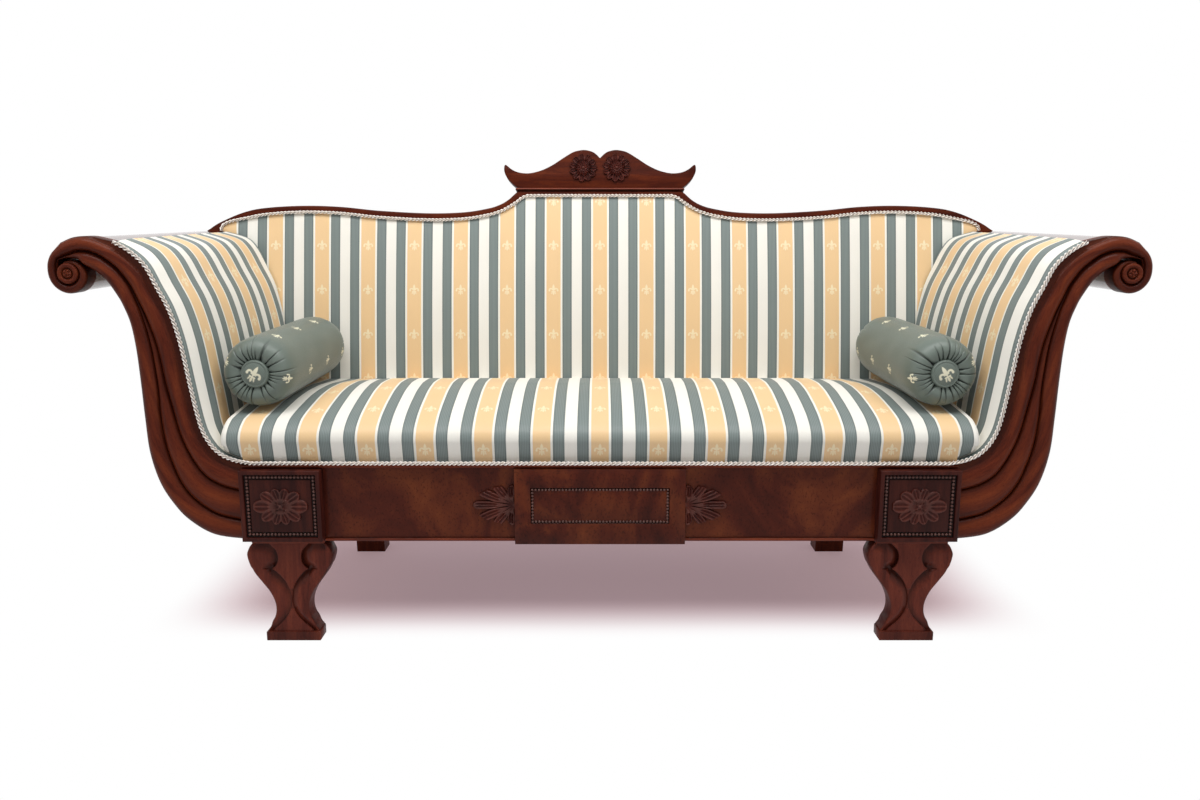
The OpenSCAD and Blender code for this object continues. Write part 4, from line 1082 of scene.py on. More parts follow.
def resampled(path, step):
    run = lengths(path)
    count = int(run[-1] / step)
    out, k = [], 0
    for n in range(count + 1):
        goal = run[-1] * n / count
        while k < len(run) - 2 and run[k + 1] < goal:
            k += 1
        share = (goal - run[k]) / max(run[k + 1] - run[k], 1e-9)
        out.append(path[k].lerp(path[k + 1], share))
    return out


def twistedCord(name, path, node):
    line = resampled(path, cord["lead"] / cord["steps"])
    strandRadius = cord["radius"] * cord["strand"]
    strands, shading = [], []
    for strand in range(cord["strands"]):
        rings = []
        for n, p in enumerate(line):
            forward = (line[min(n + 1, len(line) - 1)] - line[max(n - 1, 0)]).normalized()
            side = forward.cross(Vector((0, -1, 0))).normalized()
            up = side.cross(forward)
            turn = 2 * math.pi * (n / cord["steps"] + strand / cord["strands"])
            out = side * math.cos(turn) + up * math.sin(turn)
            middle = p + out * (cord["radius"] - strandRadius)
            lean = (forward * cord["lean"][0] + forward.cross(out) * cord["lean"][1]).normalized()
            flat = lean.cross(out)
            ring = []
            for k in range(cord["sides"]):
                a = 2 * math.pi * k / cord["sides"]
                ring.append(middle + (out * math.cos(a) + flat * math.sin(a)) * strandRadius)
                # painted shade on the inner side of each strand, where it meets the others
                shading.append(smooth(0.95 + 0.85 * math.cos(a)))
            rings.append(ring)
        strands.append(rings)
    step = cord["lead"] / cord["steps"]
    piece = tubes(name, strands, uvAt=lambda strand, n: (strand + 0.5, n * step))
    storeShading(piece, shading)
    dress(piece, cordSilk, node)


cordY = -cord["radius"] - cord["proud"]
sewnOn = [fromIn(t, -0.001) for t in between(padEnd, padEnd * 0.02, 60)]
seatHalf = [at(x, cordY, z) for x, z in sewnOn]
seatHalf += [at(x, cordY - cord["seatOut"], settee["seatZ"] + cord["radius"] + gap)
             for x in between(armX * 0.97, armX * 0.02, 12)]
twistedCord("seatCord", seatHalf + mirrored(seatHalf[::-1]), "seat_cord")
backHalf = []
for x, v in clothEdge:
    k = roundCorner(x)
    out, down = cord["radius"] * 0.4 * k, cord["radius"] * 0.5 * (1 - k)
    backHalf.append(onSlope(x + out, v - down, -cord["radius"] - gap))
twistedCord("backCord", backHalf + mirrored(backHalf[::-1]), "back_cord")
print("cords made")


# loose bolsters with gathered ends

bolster = {
    "radius": (highOf("bolster_right").x - lowOf("bolster_right").x) / 2,
    "length": highOf("bolster_buttons_right").y - lowOf("bolster_buttons_right").y,
    "button": 0.028, "folds": 24, "foldDepth": 0.0060, "around": 480, "end": 0.070,
    # the pattern: turned about the bolster, drawn closer on the side that shows, and shifted along it
    "turn": 0.833, "closer": 0.136, "patternIn": 0.105,
    "buttonSides": 40, "buttonTurn": 32, "buttonScale": 0.74,
    # the gathers: shortest length and what chance adds, width of a crease and what it adds at the button
    "reach": (0.024, 0.150), "crease": (0.075, 0.09),
    "flat": 0.0012,                          # how far it is pressed flat on the seat
    "seed": 1.7, "uneven": 0.0009,
}
bolsterMid = (lowOf("bolster_right") + highOf("bolster_right")) / 2
bolsterFront = lowOf("bolster_buttons_right").y


def bolsterProfile():
    r, b, end = bolster["radius"], bolster["button"], bolster["end"]
    half = curve([(b * 0.80, 0.011), (b * 0.98, 0.008), (r * 0.56, 0.0035), (r * 0.70, 0.004),
                  (r * 0.83, 0.010), (r * 0.92, 0.019), (r * 0.97, 0.031), (r * 0.993, 0.048), (r, end)], 5)
    middle = [(r, y) for y in between(end, bolster["length"] - end, 30)[1:-1]]
    return half + middle + [(p[0], bolster["length"] - p[1]) for p in reversed(half)]


def gathers(a, near, seed):
    # narrow creases of uneven length that run out from the button: their depth, and how far they draw the
    # cloth in
    bend = a + 0.13 * math.sin(3 * a + seed) + 0.06 * math.sin(7 * a + 2 * seed)
    bend += 0.25 * near * math.sin(5 * a)
    fold = bolster["folds"] * bend / (2 * math.pi)
    which = round(fold)
    chance = abs(noise.noise(Vector((which % bolster["folds"] * 3.7 + 0.5, seed, 0.0))))
    reach = bolster["reach"][0] + bolster["reach"][1] * chance
    fade = smooth((near - 0.001) / 0.004) * (1 - smooth((near - 0.008) / reach))
    narrow = bolster["crease"][0] + bolster["crease"][1] * (1 - smooth(near / 0.02))
    crease = math.exp(-((fold - which) / narrow) ** 2)
    swell = 0.5 + 0.5 * math.cos(2 * math.pi * (fold - which))
    drawn = fade * (0.72 * crease + 0.28 * swell * (1 - smooth(near / 0.03)))
    return fade * crease, -bolster["foldDepth"] * drawn


def bolsterRows(side, seed):
    profile = bolsterProfile()
    run = lengths(profile)
    floor = bolster["flat"] - bolster["radius"]
    middle = Vector((side * bolsterMid.x, 0, bolsterMid.z))
    rows, shading = [], []
    for i, (r, y) in enumerate(profile):
        before, after = profile[max(i - 1, 0)], profile[min(i + 1, len(profile) - 1)]
        tangent = Vector((after[0] - before[0], after[1] - before[1])).normalized()
        near = min(run[i], run[-1] - run[i])
        row = []
        for k in range(bolster["around"]):
            a = 2 * math.pi * k / bolster["around"]
            crease, push = gathers(a, near, seed)
            # painted shade along each crease
            shading.append(0.5 * (1 - 0.9 * crease))
            spot = Vector((math.cos(a) * 2.2, y * 14, math.sin(a) * 2.2 + seed))
            push += bolster["uneven"] * noise.noise(spot) * smooth(near / 0.05)
            radius = r + tangent.y * push
            z = max(math.sin(a) * radius, floor)
            row.append(middle + Vector((math.cos(a) * radius, bolsterFront + y - tangent.x * push, z)))
        rows.append(row)
    return rows, run, shading


# a covered button, domed, with a rolled rim: shares of its radius, and depths in metres
buttonDome = curve([(0.0, 0.0), (0.35, 0.0006), (0.66, 0.0022), (0.80, 0.0038), (0.86, 0.0034),
                    (0.93, 0.0036), (0.99, 0.0062), (1.0, 0.0090), (0.94, 0.0110)], 4)


def circle(x, y, z, radius, count):
    turns = [2 * math.pi * k / count for k in range(count)]
    return [Vector((x + math.cos(a) * radius, y, z + math.sin(a) * radius)) for a in turns]


for word, side in sides:
    rows, run, shading = bolsterRows(side, bolster["seed"] + side)

    def bolsterUv(i, j):
        a = 2 * math.pi * j / bolster["around"]
        turn = a + bolster["closer"] * math.sin(a - math.radians(90 + 60 * side))
        around = turn / (2 * math.pi) * 4 * satin["around"]
        return (around * side + satin["around"] * bolster["turn"], run[i] - bolster["patternIn"])

    roll = surface("looseBolster_" + word, rows, bolsterUv, closed=True, angle=180)
    storeShading(roll, shading)
    dress(roll, bolsterSatin, "bolster_" + word, "bolster_" + word)

    x, z = side * bolsterMid.x, bolsterMid.z
    bothEnds = []
    for start, inward in ((bolsterFront, 1), (bolsterFront + bolster["length"], -1)):
        bothEnds.append([circle(x, start + inward * y, z, r * bolster["button"], bolster["buttonSides"])
                         for r, y in buttonDome])
    buttons = tubes("bolsterButtons_" + word, bothEnds, ends=(-1,), weld=True)
    lean = math.radians(side * bolster["buttonTurn"])
    c, s = bolster["buttonScale"] * math.cos(lean), bolster["buttonScale"] * math.sin(lean)
    setUv(buttons, lambda co: ((co.x - x) * c + (co.z - z) * s, (co.z - z) * c - (co.x - x) * s))
    setShading(buttons, lambda co: 0.5)
    dress(buttons, bolsterSatin, "bolster_buttons_" + word, "bolster_" + word)
print("bolsters made")


# corner blocks with a sunk panel, beads and a carved flower

block = {"border": 0.008, "sink": 0.0075, "channel": 0.0105, "raise": 0.0035, "bead": 0.0030,
         "beadIn": 0.0135, "flowerWide": 0.0535, "flowerHigh": 0.0365, "rise": 0.0050, "button": 0.0045,
         "eased": 0.0011,
         # the flower's rings of petals: how many, wide and high as shares, half width, rise and turn
         "petals": [(10, 1.0, 1.0, 0.275, 1.0, 0), (4, 0.34, 0.46, 0.17, 1.2, 45)],
         # painted shade in the sunk channel round the panel, by its depth behind the face
         "shading": [(0.0, 0.52), (0.002, 0.40), (0.0038, 0.42), (0.0044, 0.34), (0.0072, 0.02), (0.0080, 0.02),
                  (0.0100, 0.4)]}


def beadBall(radius):
    bpy.ops.object.select_all(action="DESELECT")
    bpy.ops.mesh.primitive_uv_sphere_add(segments=10, ring_count=6, radius=radius)
    bead = bpy.context.object
    bead.select_set(False)
    return bead


def beadPlaces(centre, wide, high, radius):
    across = round(wide / (radius * 2.45))
    up = round(high / (radius * 2.45))
    places = []
    for end in (-1, 1):
        places += [centre + Vector((x, 0, end * high / 2)) for x in between(-wide / 2, wide / 2, across)]
        places += [centre + Vector((end * wide / 2, 0, z)) for z in between(-high / 2, high / 2, up)[1:-1]]
    return places


def spoonPetal(along, across, length, half, high):
    # a petal: narrow at its stem, a round tip, a raised rim about a hollow and a rib down its middle
    share = along / length
    if share <= 0 or share >= 1:
        return -1
    blunt = min(0.4, 1.05 * half / length)
    tip = math.sqrt(max(0.0, 1 - ((share - 1 + blunt) / blunt) ** 2)) if share > 1 - blunt else 1.0
    t = abs(across) / (half * (0.24 + 0.76 * smooth((share - 0.10) / 0.55)) * tip + 1e-6)
    if t >= 1:
        return -1
    bowl = smooth((share - 0.34) / 0.16) * smooth((0.99 - share) / 0.10)
    hollow = max(0.0, 1 - (t / 0.78) ** 2) * 0.62 * bowl
    rib = math.exp(-(t / 0.17) ** 2) * 0.50 * bowl
    return high * ((1 - t ** 6) ** 0.5 * (0.55 + 0.45 * smooth(share / 0.5)) - hollow * 1.1 + rib)


def flowerHeight(x, z, petals):
    # the highest of the petals at a place, or a little under the ground between them
    r, a = math.hypot(x, z), math.degrees(math.atan2(z, x))
    top = -0.0006
    for angle, bend, length, half, high in petals:
        off = (a - angle - bend * (r / length) ** 2 + 180) % 360 - 180
        if abs(off) < 60:
            top = max(top, spoonPetal(r, r * math.radians(off), length, half, high))
    return top


def petalRing(count, wide, high, half, rise, turn):
    # petals evenly round an oval
    ring = []
    for k in range(count):
        angle = 360 * k / count + turn
        a = math.radians(angle)
        length = 1 / math.hypot(math.cos(a) / wide, math.sin(a) / high)
        ring.append((angle, 0.0, length, half * length, rise))
    return ring


def relief(name, centre, wide, high, petals, button, angles=(0, 360), spokes=240, rings=32):
    # a carved flower or fan over an oval, with its ground hidden in what it stands on
    rows = []
    for k in range(spokes + 1):
        a = math.radians(angles[0] + (angles[1] - angles[0]) * k / spokes)
        row = []
        for i in range(rings + 1):
            x, z = wide * i / rings * math.cos(a), high * i / rings * math.sin(a)
            h = flowerHeight(x, z, petals)
            near = math.hypot(x, z) / button[0]
            if near < 1:
                h = max(h, button[1] * math.sqrt(1 - near * near))
            row.append(centre + Vector((x, -h, z)))
        row.append(centre + Vector((wide * math.cos(a), 0.002, high * math.sin(a))))
        rows.append(row)
    if angles[1] - angles[0] == 360:
        rows[-1] = rows[0]
    piece = surface(name, rows)
    faceOut(piece, 50, weld=True, fill=True)
    return piece


for word, side in sides:
    low, high = lowOf("corner_block_" + word), highOf("corner_block_" + word)
    piece = board("cornerBlock_" + word, low, high)
    stepPanel(piece, [(block["border"], block["sink"]), (block["channel"], -block["raise"])])
    roundEdges(piece, block["eased"], 2, 50)
    shadeByDepth(piece, low.y, block["shading"])
    dress(piece, carvedWood, "corner_block_" + word)
    sunk = Vector(((low.x + high.x) / 2, low.y + block["sink"], (low.z + high.z) / 2))
    bead = block["bead"]
    inner = high - low - Vector((1, 1, 1)) * 2 * block["beadIn"]
    places = beadPlaces(sunk - Vector((0, bead * 0.4, 0)), inner.x, inner.z, bead)
    beads = joinCopies("blockBeads_" + word, beadBall(bead), places)
    dress(beads, beadWood, "block_beads_" + word)
    ground = sunk - Vector((0, block["raise"], 0))
    wide, tall, rise = block["flowerWide"], block["flowerHigh"], block["rise"]
    petals = []
    for count, x, z, half, up, turn in block["petals"]:
        petals += petalRing(count, wide * x, tall * z, half, rise * up, turn)
    flower = relief("blockFlower_" + word, ground, wide, tall, petals, (block["button"], rise * 1.2))
    # painted shade on the flower's ground and a painted highlight on its petals
    shadeByRise(flower, ground.y, rise * 1.05)
    dress(flower, carvedWood, "block_rosette_" + word)


# plaque in the middle of the rail: a sunk frame of beads round a raised field

plaque = {"wide": 0.272, "high": 0.073, "bead": 0.0027, "sink": 0.0034, "channel": 0.0062, "wall": 0.001,
          "raise": 0.0018, "beadIn": 0.0041, "eased": 0.0004,
          # painted shade in the sunk channel, by its depth behind the face
          "shading": [(0.0, 0.5), (0.0012, 0.45), (0.0017, 0.5), (0.0026, 0.05), (0.0035, 0.02), (0.0060, 0.45)]}
low, high = lowOf("centre_plaque"), highOf("centre_plaque")
plaqueMid = Vector((0, low.y, (settee["railZ"] + settee["railTop"]) / 2))
piece = board("centrePlaque", low, high)
work = bmesh.new()
work.from_mesh(piece.data)
front = min(work.faces, key=lambda f: f.calc_center_median().y)
bmesh.ops.inset_region(work, faces=[front], thickness=0.02)
for v in front.verts:
    v.co.x = math.copysign(plaque["wide"] / 2, v.co.x)
    v.co.z = plaqueMid.z + math.copysign(plaque["high"] / 2, v.co.z - plaqueMid.z)
steps = [(plaque["wall"], plaque["sink"]), (plaque["channel"], 0.0), (plaque["wall"], -plaque["raise"])]
for border, push in steps:
    bmesh.ops.inset_region(work, faces=[front], thickness=border)
    for v in front.verts:
        v.co.y += push
work.to_mesh(piece.data)
work.free()
roundEdges(piece, plaque["eased"], 1, 50)
shadeByDepth(piece, low.y, plaque["shading"])
dress(piece, flameCarved, "centre_plaque")
bead = plaque["bead"]
places = beadPlaces(plaqueMid + Vector((0, plaque["sink"] - bead * 0.5, 0)),
                    plaque["wide"] - 2 * plaque["beadIn"], plaque["high"] - 2 * plaque["beadIn"], bead)
beads = joinCopies("plaqueBeads", beadBall(bead), places)
dress(beads, beadWood, "plaque_beads")
print("blocks and plaque made")


# palmettes beside the plaque: a fan of spoon-shaped leaves, each with its angle, bend, length and half width

palmette = {"leaves": [(0, 0, 0.0815, 0.0082), (21, 2, 0.0770, 0.0094), (43, 5, 0.0595, 0.0090),
                       (68, 14, 0.0410, 0.0078)],
            "rise": 0.0068, "wide": 0.082, "high": 0.040, "button": (0.006, 0.0055)}

for word, side in sides:
    middle = Vector((side * highOf("centre_plaque").x, settee["front"], plaqueMid.z))
    leaves = []
    for angle, bend, length, half in palmette["leaves"]:
        for turn in ((1, -1) if angle else (1,)):
            way = turn * angle if side > 0 else 180 - turn * angle
            leaves.append((way, turn * bend * side, length, half, palmette["rise"]))
    span = (-90, 90) if side > 0 else (90, 270)
    fan = relief("palmette_" + word, middle, palmette["wide"], palmette["high"], leaves, palmette["button"],
                 span, 150, 40)
    # painted shade on the fan's ground and a painted highlight on its leaves
    shadeByRise(fan, settee["front"], palmette["rise"])
    dress(fan, carvedWood, "palmette_" + word)
print("palmettes made")


# mouldings along the top and bottom of the front rail

moulding = {"out": 0.005, "deep": 0.016, "bottomHigh": 0.007}


def strip(name, profile, spans, node):
    piece = tubes(name, [[[at(x, y, z) for y, z in profile] for x in span] for span in spans], 40)
    low, high = min(z for y, z in profile), max(z for y, z in profile)
    # a painted highlight along the middle of the nose, painted shade at its top and bottom
    setShading(piece, lambda co: 0.04 + 0.90 * math.sin(math.pi * (co.z - low) / (high - low)) ** 0.8)
    dress(piece, carvedBrown, node)


def roundNose(low, high):
    # half round, and proud of the rail
    middle, half = (low + high) / 2, (high - low) / 2
    return [(half - moulding["out"] - half * math.cos(a), middle + half * math.sin(a))
            for a in between(-math.pi / 2, math.pi / 2, 8)]


topZ, seatZ, footZ = settee["railTop"], settee["seatZ"], settee["railZ"]
blockIn = lowOf("corner_block_right").x
plaqueOut = highOf("centre_plaque").x
topProfile = [(moulding["deep"], topZ)] + roundNose(topZ, seatZ) + [(moulding["deep"], seatZ)]
strip("railTopMoulding", topProfile, [(-armX, armX)], "rail_top_moulding")
bottomTop = footZ + moulding["bottomHigh"]
bottomProfile = [(0, footZ)] + roundNose(footZ, bottomTop) + [(0, bottomTop)]
spans = [(-blockIn, -plaqueOut), (plaqueOut, blockIn)]
strip("railBottomMoulding", bottomProfile, spans, "rail_bottom_moulding")


# carved front legs: the outline as shares of height and half width, the carved lines in metres

leg = {
    "rows": [(0.100, 0.605), (0.135, 0.545), (0.187, 0.500), (0.241, 0.430), (0.315, 0.394), (0.404, 0.418),
             (0.502, 0.518), (0.596, 0.676), (0.685, 0.829), (0.735, 0.890), (0.778, 0.947), (0.872, 1.000),
             (0.936, 0.953), (0.975, 0.894), (1.000, 0.835)],
    "width": 0.170, "thick": 0.040, "lobe": 0.008, "slab": 0.010, "inset": 0.017, "blockOut": 0.024,
    "plinth": 0.0185, "plinthWide": 0.635, "slabWide": 0.84,
    "in": 0.082,                             # from the block's outer face to the leg's middle
    "face": 0.0015,                          # the highest carved level behind the plinth's face
    "split": 0.1505,                         # height where the two lobes meet
    # inner edge of the upper lobe from the slab down, then of the lower lobe from its tip to the plinth
    "upper": [(0.0425, 0.206), (0.0335, 0.197), (0.0262, 0.188), (0.0232, 0.176), (0.0245, 0.165),
              (0.0290, 0.156), (0.0345, 0.1515), (0.0385, 0.1500)],
    "lower": [(0.0480, 0.1460), (0.0430, 0.1492), (0.0370, 0.1495), (0.0305, 0.1465), (0.0237, 0.1400),
              (0.0168, 0.1320), (0.0104, 0.1225), (0.0055, 0.1120), (0.0022, 0.1010), (0.0006, 0.0900),
              (0.0006, 0.0790), (0.0030, 0.0680), (0.0080, 0.0560), (0.0150, 0.0455), (0.0250, 0.0350),
              (0.0345, 0.0265), (0.0400, 0.0200)],
    # depth of the hollow beside the lower line, by the way along it from the tip
    "scoop": [(0.0, 0.0), (0.008, 0.0090), (0.020, 0.0110), (0.040, 0.0092), (0.062, 0.0062),
              (0.110, 0.0052)],
    # painted shade in the hollows and a slight painted highlight on the lobes, by depth behind the face
    "shading": [(-0.0015, 0.36), (0.0, 0.62), (0.0012, 0.56), (0.0022, 0.46), (0.0045, 0.34), (0.0080, 0.17),
             (0.0105, 0.09), (0.0130, 0.30), (0.0300, 0.5)],
}
legTall = lowOf("corner_block_right").z - leg["slab"]
legFace = leg["inset"] - leg["blockOut"]     # the plinth's face
legX = armX - leg["in"]
upperLine, lowerLine = curve(leg["upper"], 6), curve(leg["lower"], 6)
lowerRun = lengths(lowerLine)
upperEdge = [(z, x) for x, z in upperLine]
lowerEdge = [(z, x) for x, z in lowerLine[14:]]
legEdge = [(a * legTall, b * leg["width"] / 2) for a, b in curve(leg["rows"], 6)]


def nearest(line, x, z):
    # distance to the nearest point of a line, and that point's number
    best = min(range(len(line)), key=lambda k: (line[k][0] - x) ** 2 + (line[k][1] - z) ** 2)
    return math.dist(line[best], (x, z)), best


def legDepth(x, z, half, inner):
    # how deep the carved face lies behind the lobes' highest level
    if x < inner - 1e-6:
        return 0.0012 + 0.0010 * smooth((x - inner + 0.004) / 0.004) if inner > 0.004 else 0.0035
    depth = 0.0
    edge = half - x
    if z < 0.1500 and (x < 0.0485 or z < 0.146):
        far, k = nearest(lowerLine, x, z)
        reach = 0.024 - 0.010 * smooth((lowerRun[k] - 0.03) / 0.05)
        depth = lookup(lowerRun[k], leg["scoop"]) * (1 - smooth(far / reach))
    if z > 0.1495:
        hollow = 0.0090 * (1 - smooth(nearest(upperLine, x, z)[0] / 0.020))
        depth = max(depth, hollow, 0.0075 * smooth((z - 0.184) / 0.020) * smooth(edge / 0.010))
    if edge < 0.006:
        depth = max(depth, 0.006 * (1 - math.sqrt(max(0.0, 1 - (1 - edge / 0.006) ** 2))))
    return depth


def legRing(side, z):
    if z <= leg["plinth"]:
        half = leg["plinthWide"] * leg["width"] / 2 - 0.001 * smooth((z - leg["plinth"] + 0.0012) / 0.0012)
        front = [(x, 0.0) for x in between(0, half - 0.001, 36)] + [(half, 0.001)]
    else:
        half = lookup(z, legEdge)
        inner = lookup(z, upperEdge if z > leg["split"] else lowerEdge)
        inner = min(max(inner, 0.0006), half * 0.8)
        xs = between(0, inner - 0.0004, 10) + between(inner, half, 26)
        front = [(x, legDepth(x, z, half, inner) + leg["face"]) for x in xs]
    ring = [(-x, y) for x, y in reversed(front[1:])] + front
    deep = leg["thick"]
    middle = (deep + leg["lobe"]) * 0.5
    ring += [(half, middle), (half, deep - 0.003), (half - 0.003, deep), (0.003 - half, deep),
             (-half, deep - 0.003), (-half, middle)]
    return [at(side * legX + x, legFace + y, z) for x, y in ring]


legHeights = [0, 0.001, 0.017, 0.0178, 0.0185, 0.0187] + between(0.0200, 0.1420, 92) \
    + between(0.1420, 0.1520, 16)[1:] + between(0.1520, legTall, 42)[1:]
slabHalf = leg["width"] * leg["slabWide"] / 2
for word, side in sides:
    carved = surface("frontLeg_" + word, [legRing(side, z) for z in legHeights], closed=True, angle=60)
    shadeByDepth(carved, settee["front"] + legFace + leg["face"], leg["shading"])
    dress(carved, legWood, "front_leg_" + word)
    slab = board("legSlab_" + word, at(side * legX - slabHalf, legFace, legTall),
                 at(side * legX + slabHalf, legFace + leg["thick"], legTall + leg["slab"]), 0.002)
    dress(slab, slabWood, "front_leg_" + word)
print("front legs made")


# serpentine top rail, ledge and crest

crest = {
    "outline": [(0.000, 0.790), (0.040, 0.890), (0.085, 0.960), (0.155, 1.000), (0.216, 0.990),
                (0.289, 0.939), (0.392, 0.788), (0.500, 0.615), (0.608, 0.486), (0.711, 0.415),
                (0.790, 0.400), (0.871, 0.432), (0.935, 0.505), (1.000, 0.620), (1.012, 0.470),
                (0.985, 0.300), (0.930, 0.140), (0.860, 0.000)],
    "width": 0.464, "height": 0.095, "thick": 0.034, "front": 0.006, "ledge": 0.006, "ledgeOut": 0.005,
    "ledgeWide": 0.888, "eased": 0.002, "ledgeEased": 0.0025,
    # the flowers: radius, outer and inner height, and their place as shares of the crest's width and height
    "flower": 0.0345, "petal": 0.0062, "button": 0.0098, "flowerAt": (0.088, 0.53),
    # their rings of petals: how many, size as a share, half width, rise and turn
    "petals": [(11, 1.0, 0.25, 0.0060, 0), (7, 0.60, 0.33, 0.0082, 22)],
}
ledgeV = settee["backRise"] * back["neck"]
crestV = ledgeV + crest["ledge"]


def mirroredOutline(half):
    # both halves of an outline, without points that lie on each other
    kept = []
    for p in half + [(-x, v) for x, v in reversed(half)]:
        if all(math.dist(p, q) > 1e-5 for q in kept[:1] + kept[-1:]):
            kept.append(p)
    return kept


halfCrest = [(p[0] * crest["width"] / 2, crestV + p[1] * crest["height"]) for p in curve(crest["outline"], 6)]
crestBoard = outlineSlab("crestBoard", mirroredOutline(halfCrest), onSlope,
                         (crest["front"], crest["front"] + crest["thick"]), crest["eased"])
dress(crestBoard, crestWood, "crest_board")

flowers = []
r = crest["flower"]
for end in (-1, 1):
    petals = []
    for count, size, half, rise, turn in crest["petals"]:
        petals += petalRing(count, r * size, r * size, half, rise, turn)
    flower = relief("crestFlower", Vector((0, 0, 0)), r, r, petals, (0.0055, crest["button"]))
    # painted shade between the petals and a painted highlight on their tops
    setShading(flower, lambda co: 0.03 + 0.92 * smooth(
        -co.y / (crest["petal"] if math.hypot(co.x, co.z) > r * 0.6 else crest["button"])))
    # lean it with the back
    across, up = crest["flowerAt"]
    for v in flower.data.vertices:
        v.co = onSlope(end * crest["width"] * across + v.co.x, crestV + crest["height"] * up + v.co.z,
                       crest["front"] + v.co.y)
    flowers.append(flower)
for flower in flowers:
    flower.select_set(True)
bpy.context.view_layer.objects.active = flowers[0]
bpy.ops.object.join()
flowers[0].name = "crestFlowers"
flowers[0].select_set(False)
dress(flowers[0], carvedWood, "crest_rosettes")

ledgeHalf = crest["width"] * crest["ledgeWide"] / 2
ledgeOutline = [(-ledgeHalf, ledgeV), (ledgeHalf, ledgeV), (ledgeHalf, crestV), (-ledgeHalf, crestV)]
ledge = outlineSlab("crestLedge", ledgeOutline, onSlope, (-crest["ledgeOut"], settee["frameOut"]),
                    crest["ledgeEased"])
# a painted highlight along the ledge's upper front edge, painted shade on the rest of it
ledgeMid = onSlope(0, ledgeV + crest["ledge"] * 0.45, 0).z
setShading(ledge, lambda co: 1.0 if co.z > ledgeMid + 0.0008 and co.y < onSlope(0, ledgeV, 0).y else 0.06)
dress(ledge, carvedBrown, "crest_ledge")

# the rail's underside runs along the cloth's edge and then down to the arm's roll; each of its points
# has its place on the upper edge
upperPoints = back["rail"] + [(share, back["neck"]) for share in (0.190, 0.165, 0.100, 0.000)]
lowerPoints = [(share, 0.785) for share in (1.003, 0.985, 0.968)] + back["cloth"]
lowerPoints += [(share, 1.000) for share in (0.100, 0.000)]
upperMarks = [0, 0.5, 1, 1.3, 1.55, 1.8] + list(range(2, 17))
railLower = scaledCurve(lowerPoints, 8)
railUpper = []
for k in range(len(railLower)):
    i = min(k // 8, len(upperMarks) - 2)
    mark = upperMarks[i] + (upperMarks[i + 1] - upperMarks[i]) * (k / 8 - i)
    x, v = curveAt(upperPoints, mark)
    railUpper.append((x * back["tip"], v * settee["backRise"]))


def railDepth(x):
    # beside the roll only the moulded strip is left
    full = smooth((back["thins"] - x / back["tip"]) / 0.008)
    return settee["frameIn"] + (settee["frameOut"] - settee["frameIn"]) * full


def railRing(upper, lower, w0, w1, ease, rests=True):
    # a ring round the rail between a point of its upper and one of its lower edge, with eased top edges
    def under(w):
        x, v = lower
        rest = slopeOf(lookup(x, rollTop), w) + gap if rests and x > back["tip"] * back["roll"] else v
        return (x, max(v, rest))

    span = math.dist(upper, under(w0))
    e = min(ease, span * 0.35)
    low = min(0.001, span * 0.3)
    ring = [(e - e * math.sin(a), w0 + e - e * math.cos(a)) for a in between(0, math.pi / 2, 4)]
    ring += [(e - e * math.cos(a), w1 - e + e * math.sin(a)) for a in between(0, math.pi / 2, 4)]
    ring += [(span, w1), (span, w0 + low), (span - low, w0)]
    return [onSlope(*partWay(upper, under(w), down / span), w) for down, w in ring]


railRings = [railRing(upper, (x + gap * roundCorner(x), v + gap), 0.0, railDepth(x), 0.004)
             for upper, (x, v) in zip(railUpper, railLower)]
railStrip = surface("backRailStrip", bothHalves(railRings), closed=True)
boardLow = settee["backRise"] * back["boardLow"]
boardRings = [railRing((x, edgeV(clothEdge, x) + 0.003), (x, boardLow), settee["frameIn"], settee["frameOut"],
                       0.001, False) for x in between(back["tip"] * 0.93, 0, 90)]
railBoard = surface("backRailBoard", bothHalves(boardRings), closed=True)
for piece in (railBoard, railStrip):
    dress(piece, crestWood, "back_top_rail")
print("back rail and crest made")


# outside of the back: one sheet of the striped cloth

backSheet = {"in": 0.008, "thick": 0.003, "edge": 0.001}
coverHalf = []
for t in between(0, rollStart, 40):
    x, z = fromOut(t, arm["inset"] + backSheet["in"])
    coverHalf.append((x, slopeOf(z, settee["frameOut"])))
for x in between(back["tip"] * 0.95, back["tip"] * 0.22, 40):
    coverHalf.append((x, edgeV(railEdge, x) - backSheet["in"]))
coverHalf.append((back["tip"] * 0.19, settee["backRise"] - backSheet["in"]))
backCover = outlineSlab("backCover", mirroredOutline(coverHalf), onSlope,
                        (settee["frameOut"], settee["frameOut"] + backSheet["thick"]), backSheet["edge"])
setUv(backCover, lambda co: (co.x, (co.z - settee["backZ"]) / math.cos(rake)))
dress(backCover, striped, "back_cover")
print("outside of the back made")


# coiled springs under the seat

spring = {"wire": 0.0019, "turns": 6, "perTurn": 14, "sides": 5, "ends": 0.040, "waist": 0.026,
          "shares": (0.09, 0.24, 0.48, 0.62, 0.78), "rows": (0.27, 0.73), "railFront": 0.032, "sideIn": 0.036}
springLow = lowOf("seat_springs").z + spring["wire"]
springHigh = highOf("seat_springs").z - spring["wire"]
springDeep = lowOf("rear_rail").y - settee["front"] - spring["railFront"]


def springRings(middle):
    rings = []
    steps = spring["turns"] * spring["perTurn"]
    for n in range(steps + 1):
        s = n / steps
        a = 2 * math.pi * spring["turns"] * s
        r = spring["waist"] + (spring["ends"] - spring["waist"]) * abs(2 * s - 1) ** 1.5
        z = springLow + (springHigh - springLow) * s
        out = Vector((math.cos(a), math.sin(a), 0))
        turns = [2 * math.pi * k / spring["sides"] for k in range(spring["sides"])]
        rings.append([middle + out * (r + spring["wire"] * math.cos(b))
                      + Vector((0, 0, z + spring["wire"] * math.sin(b))) for b in turns])
    return rings


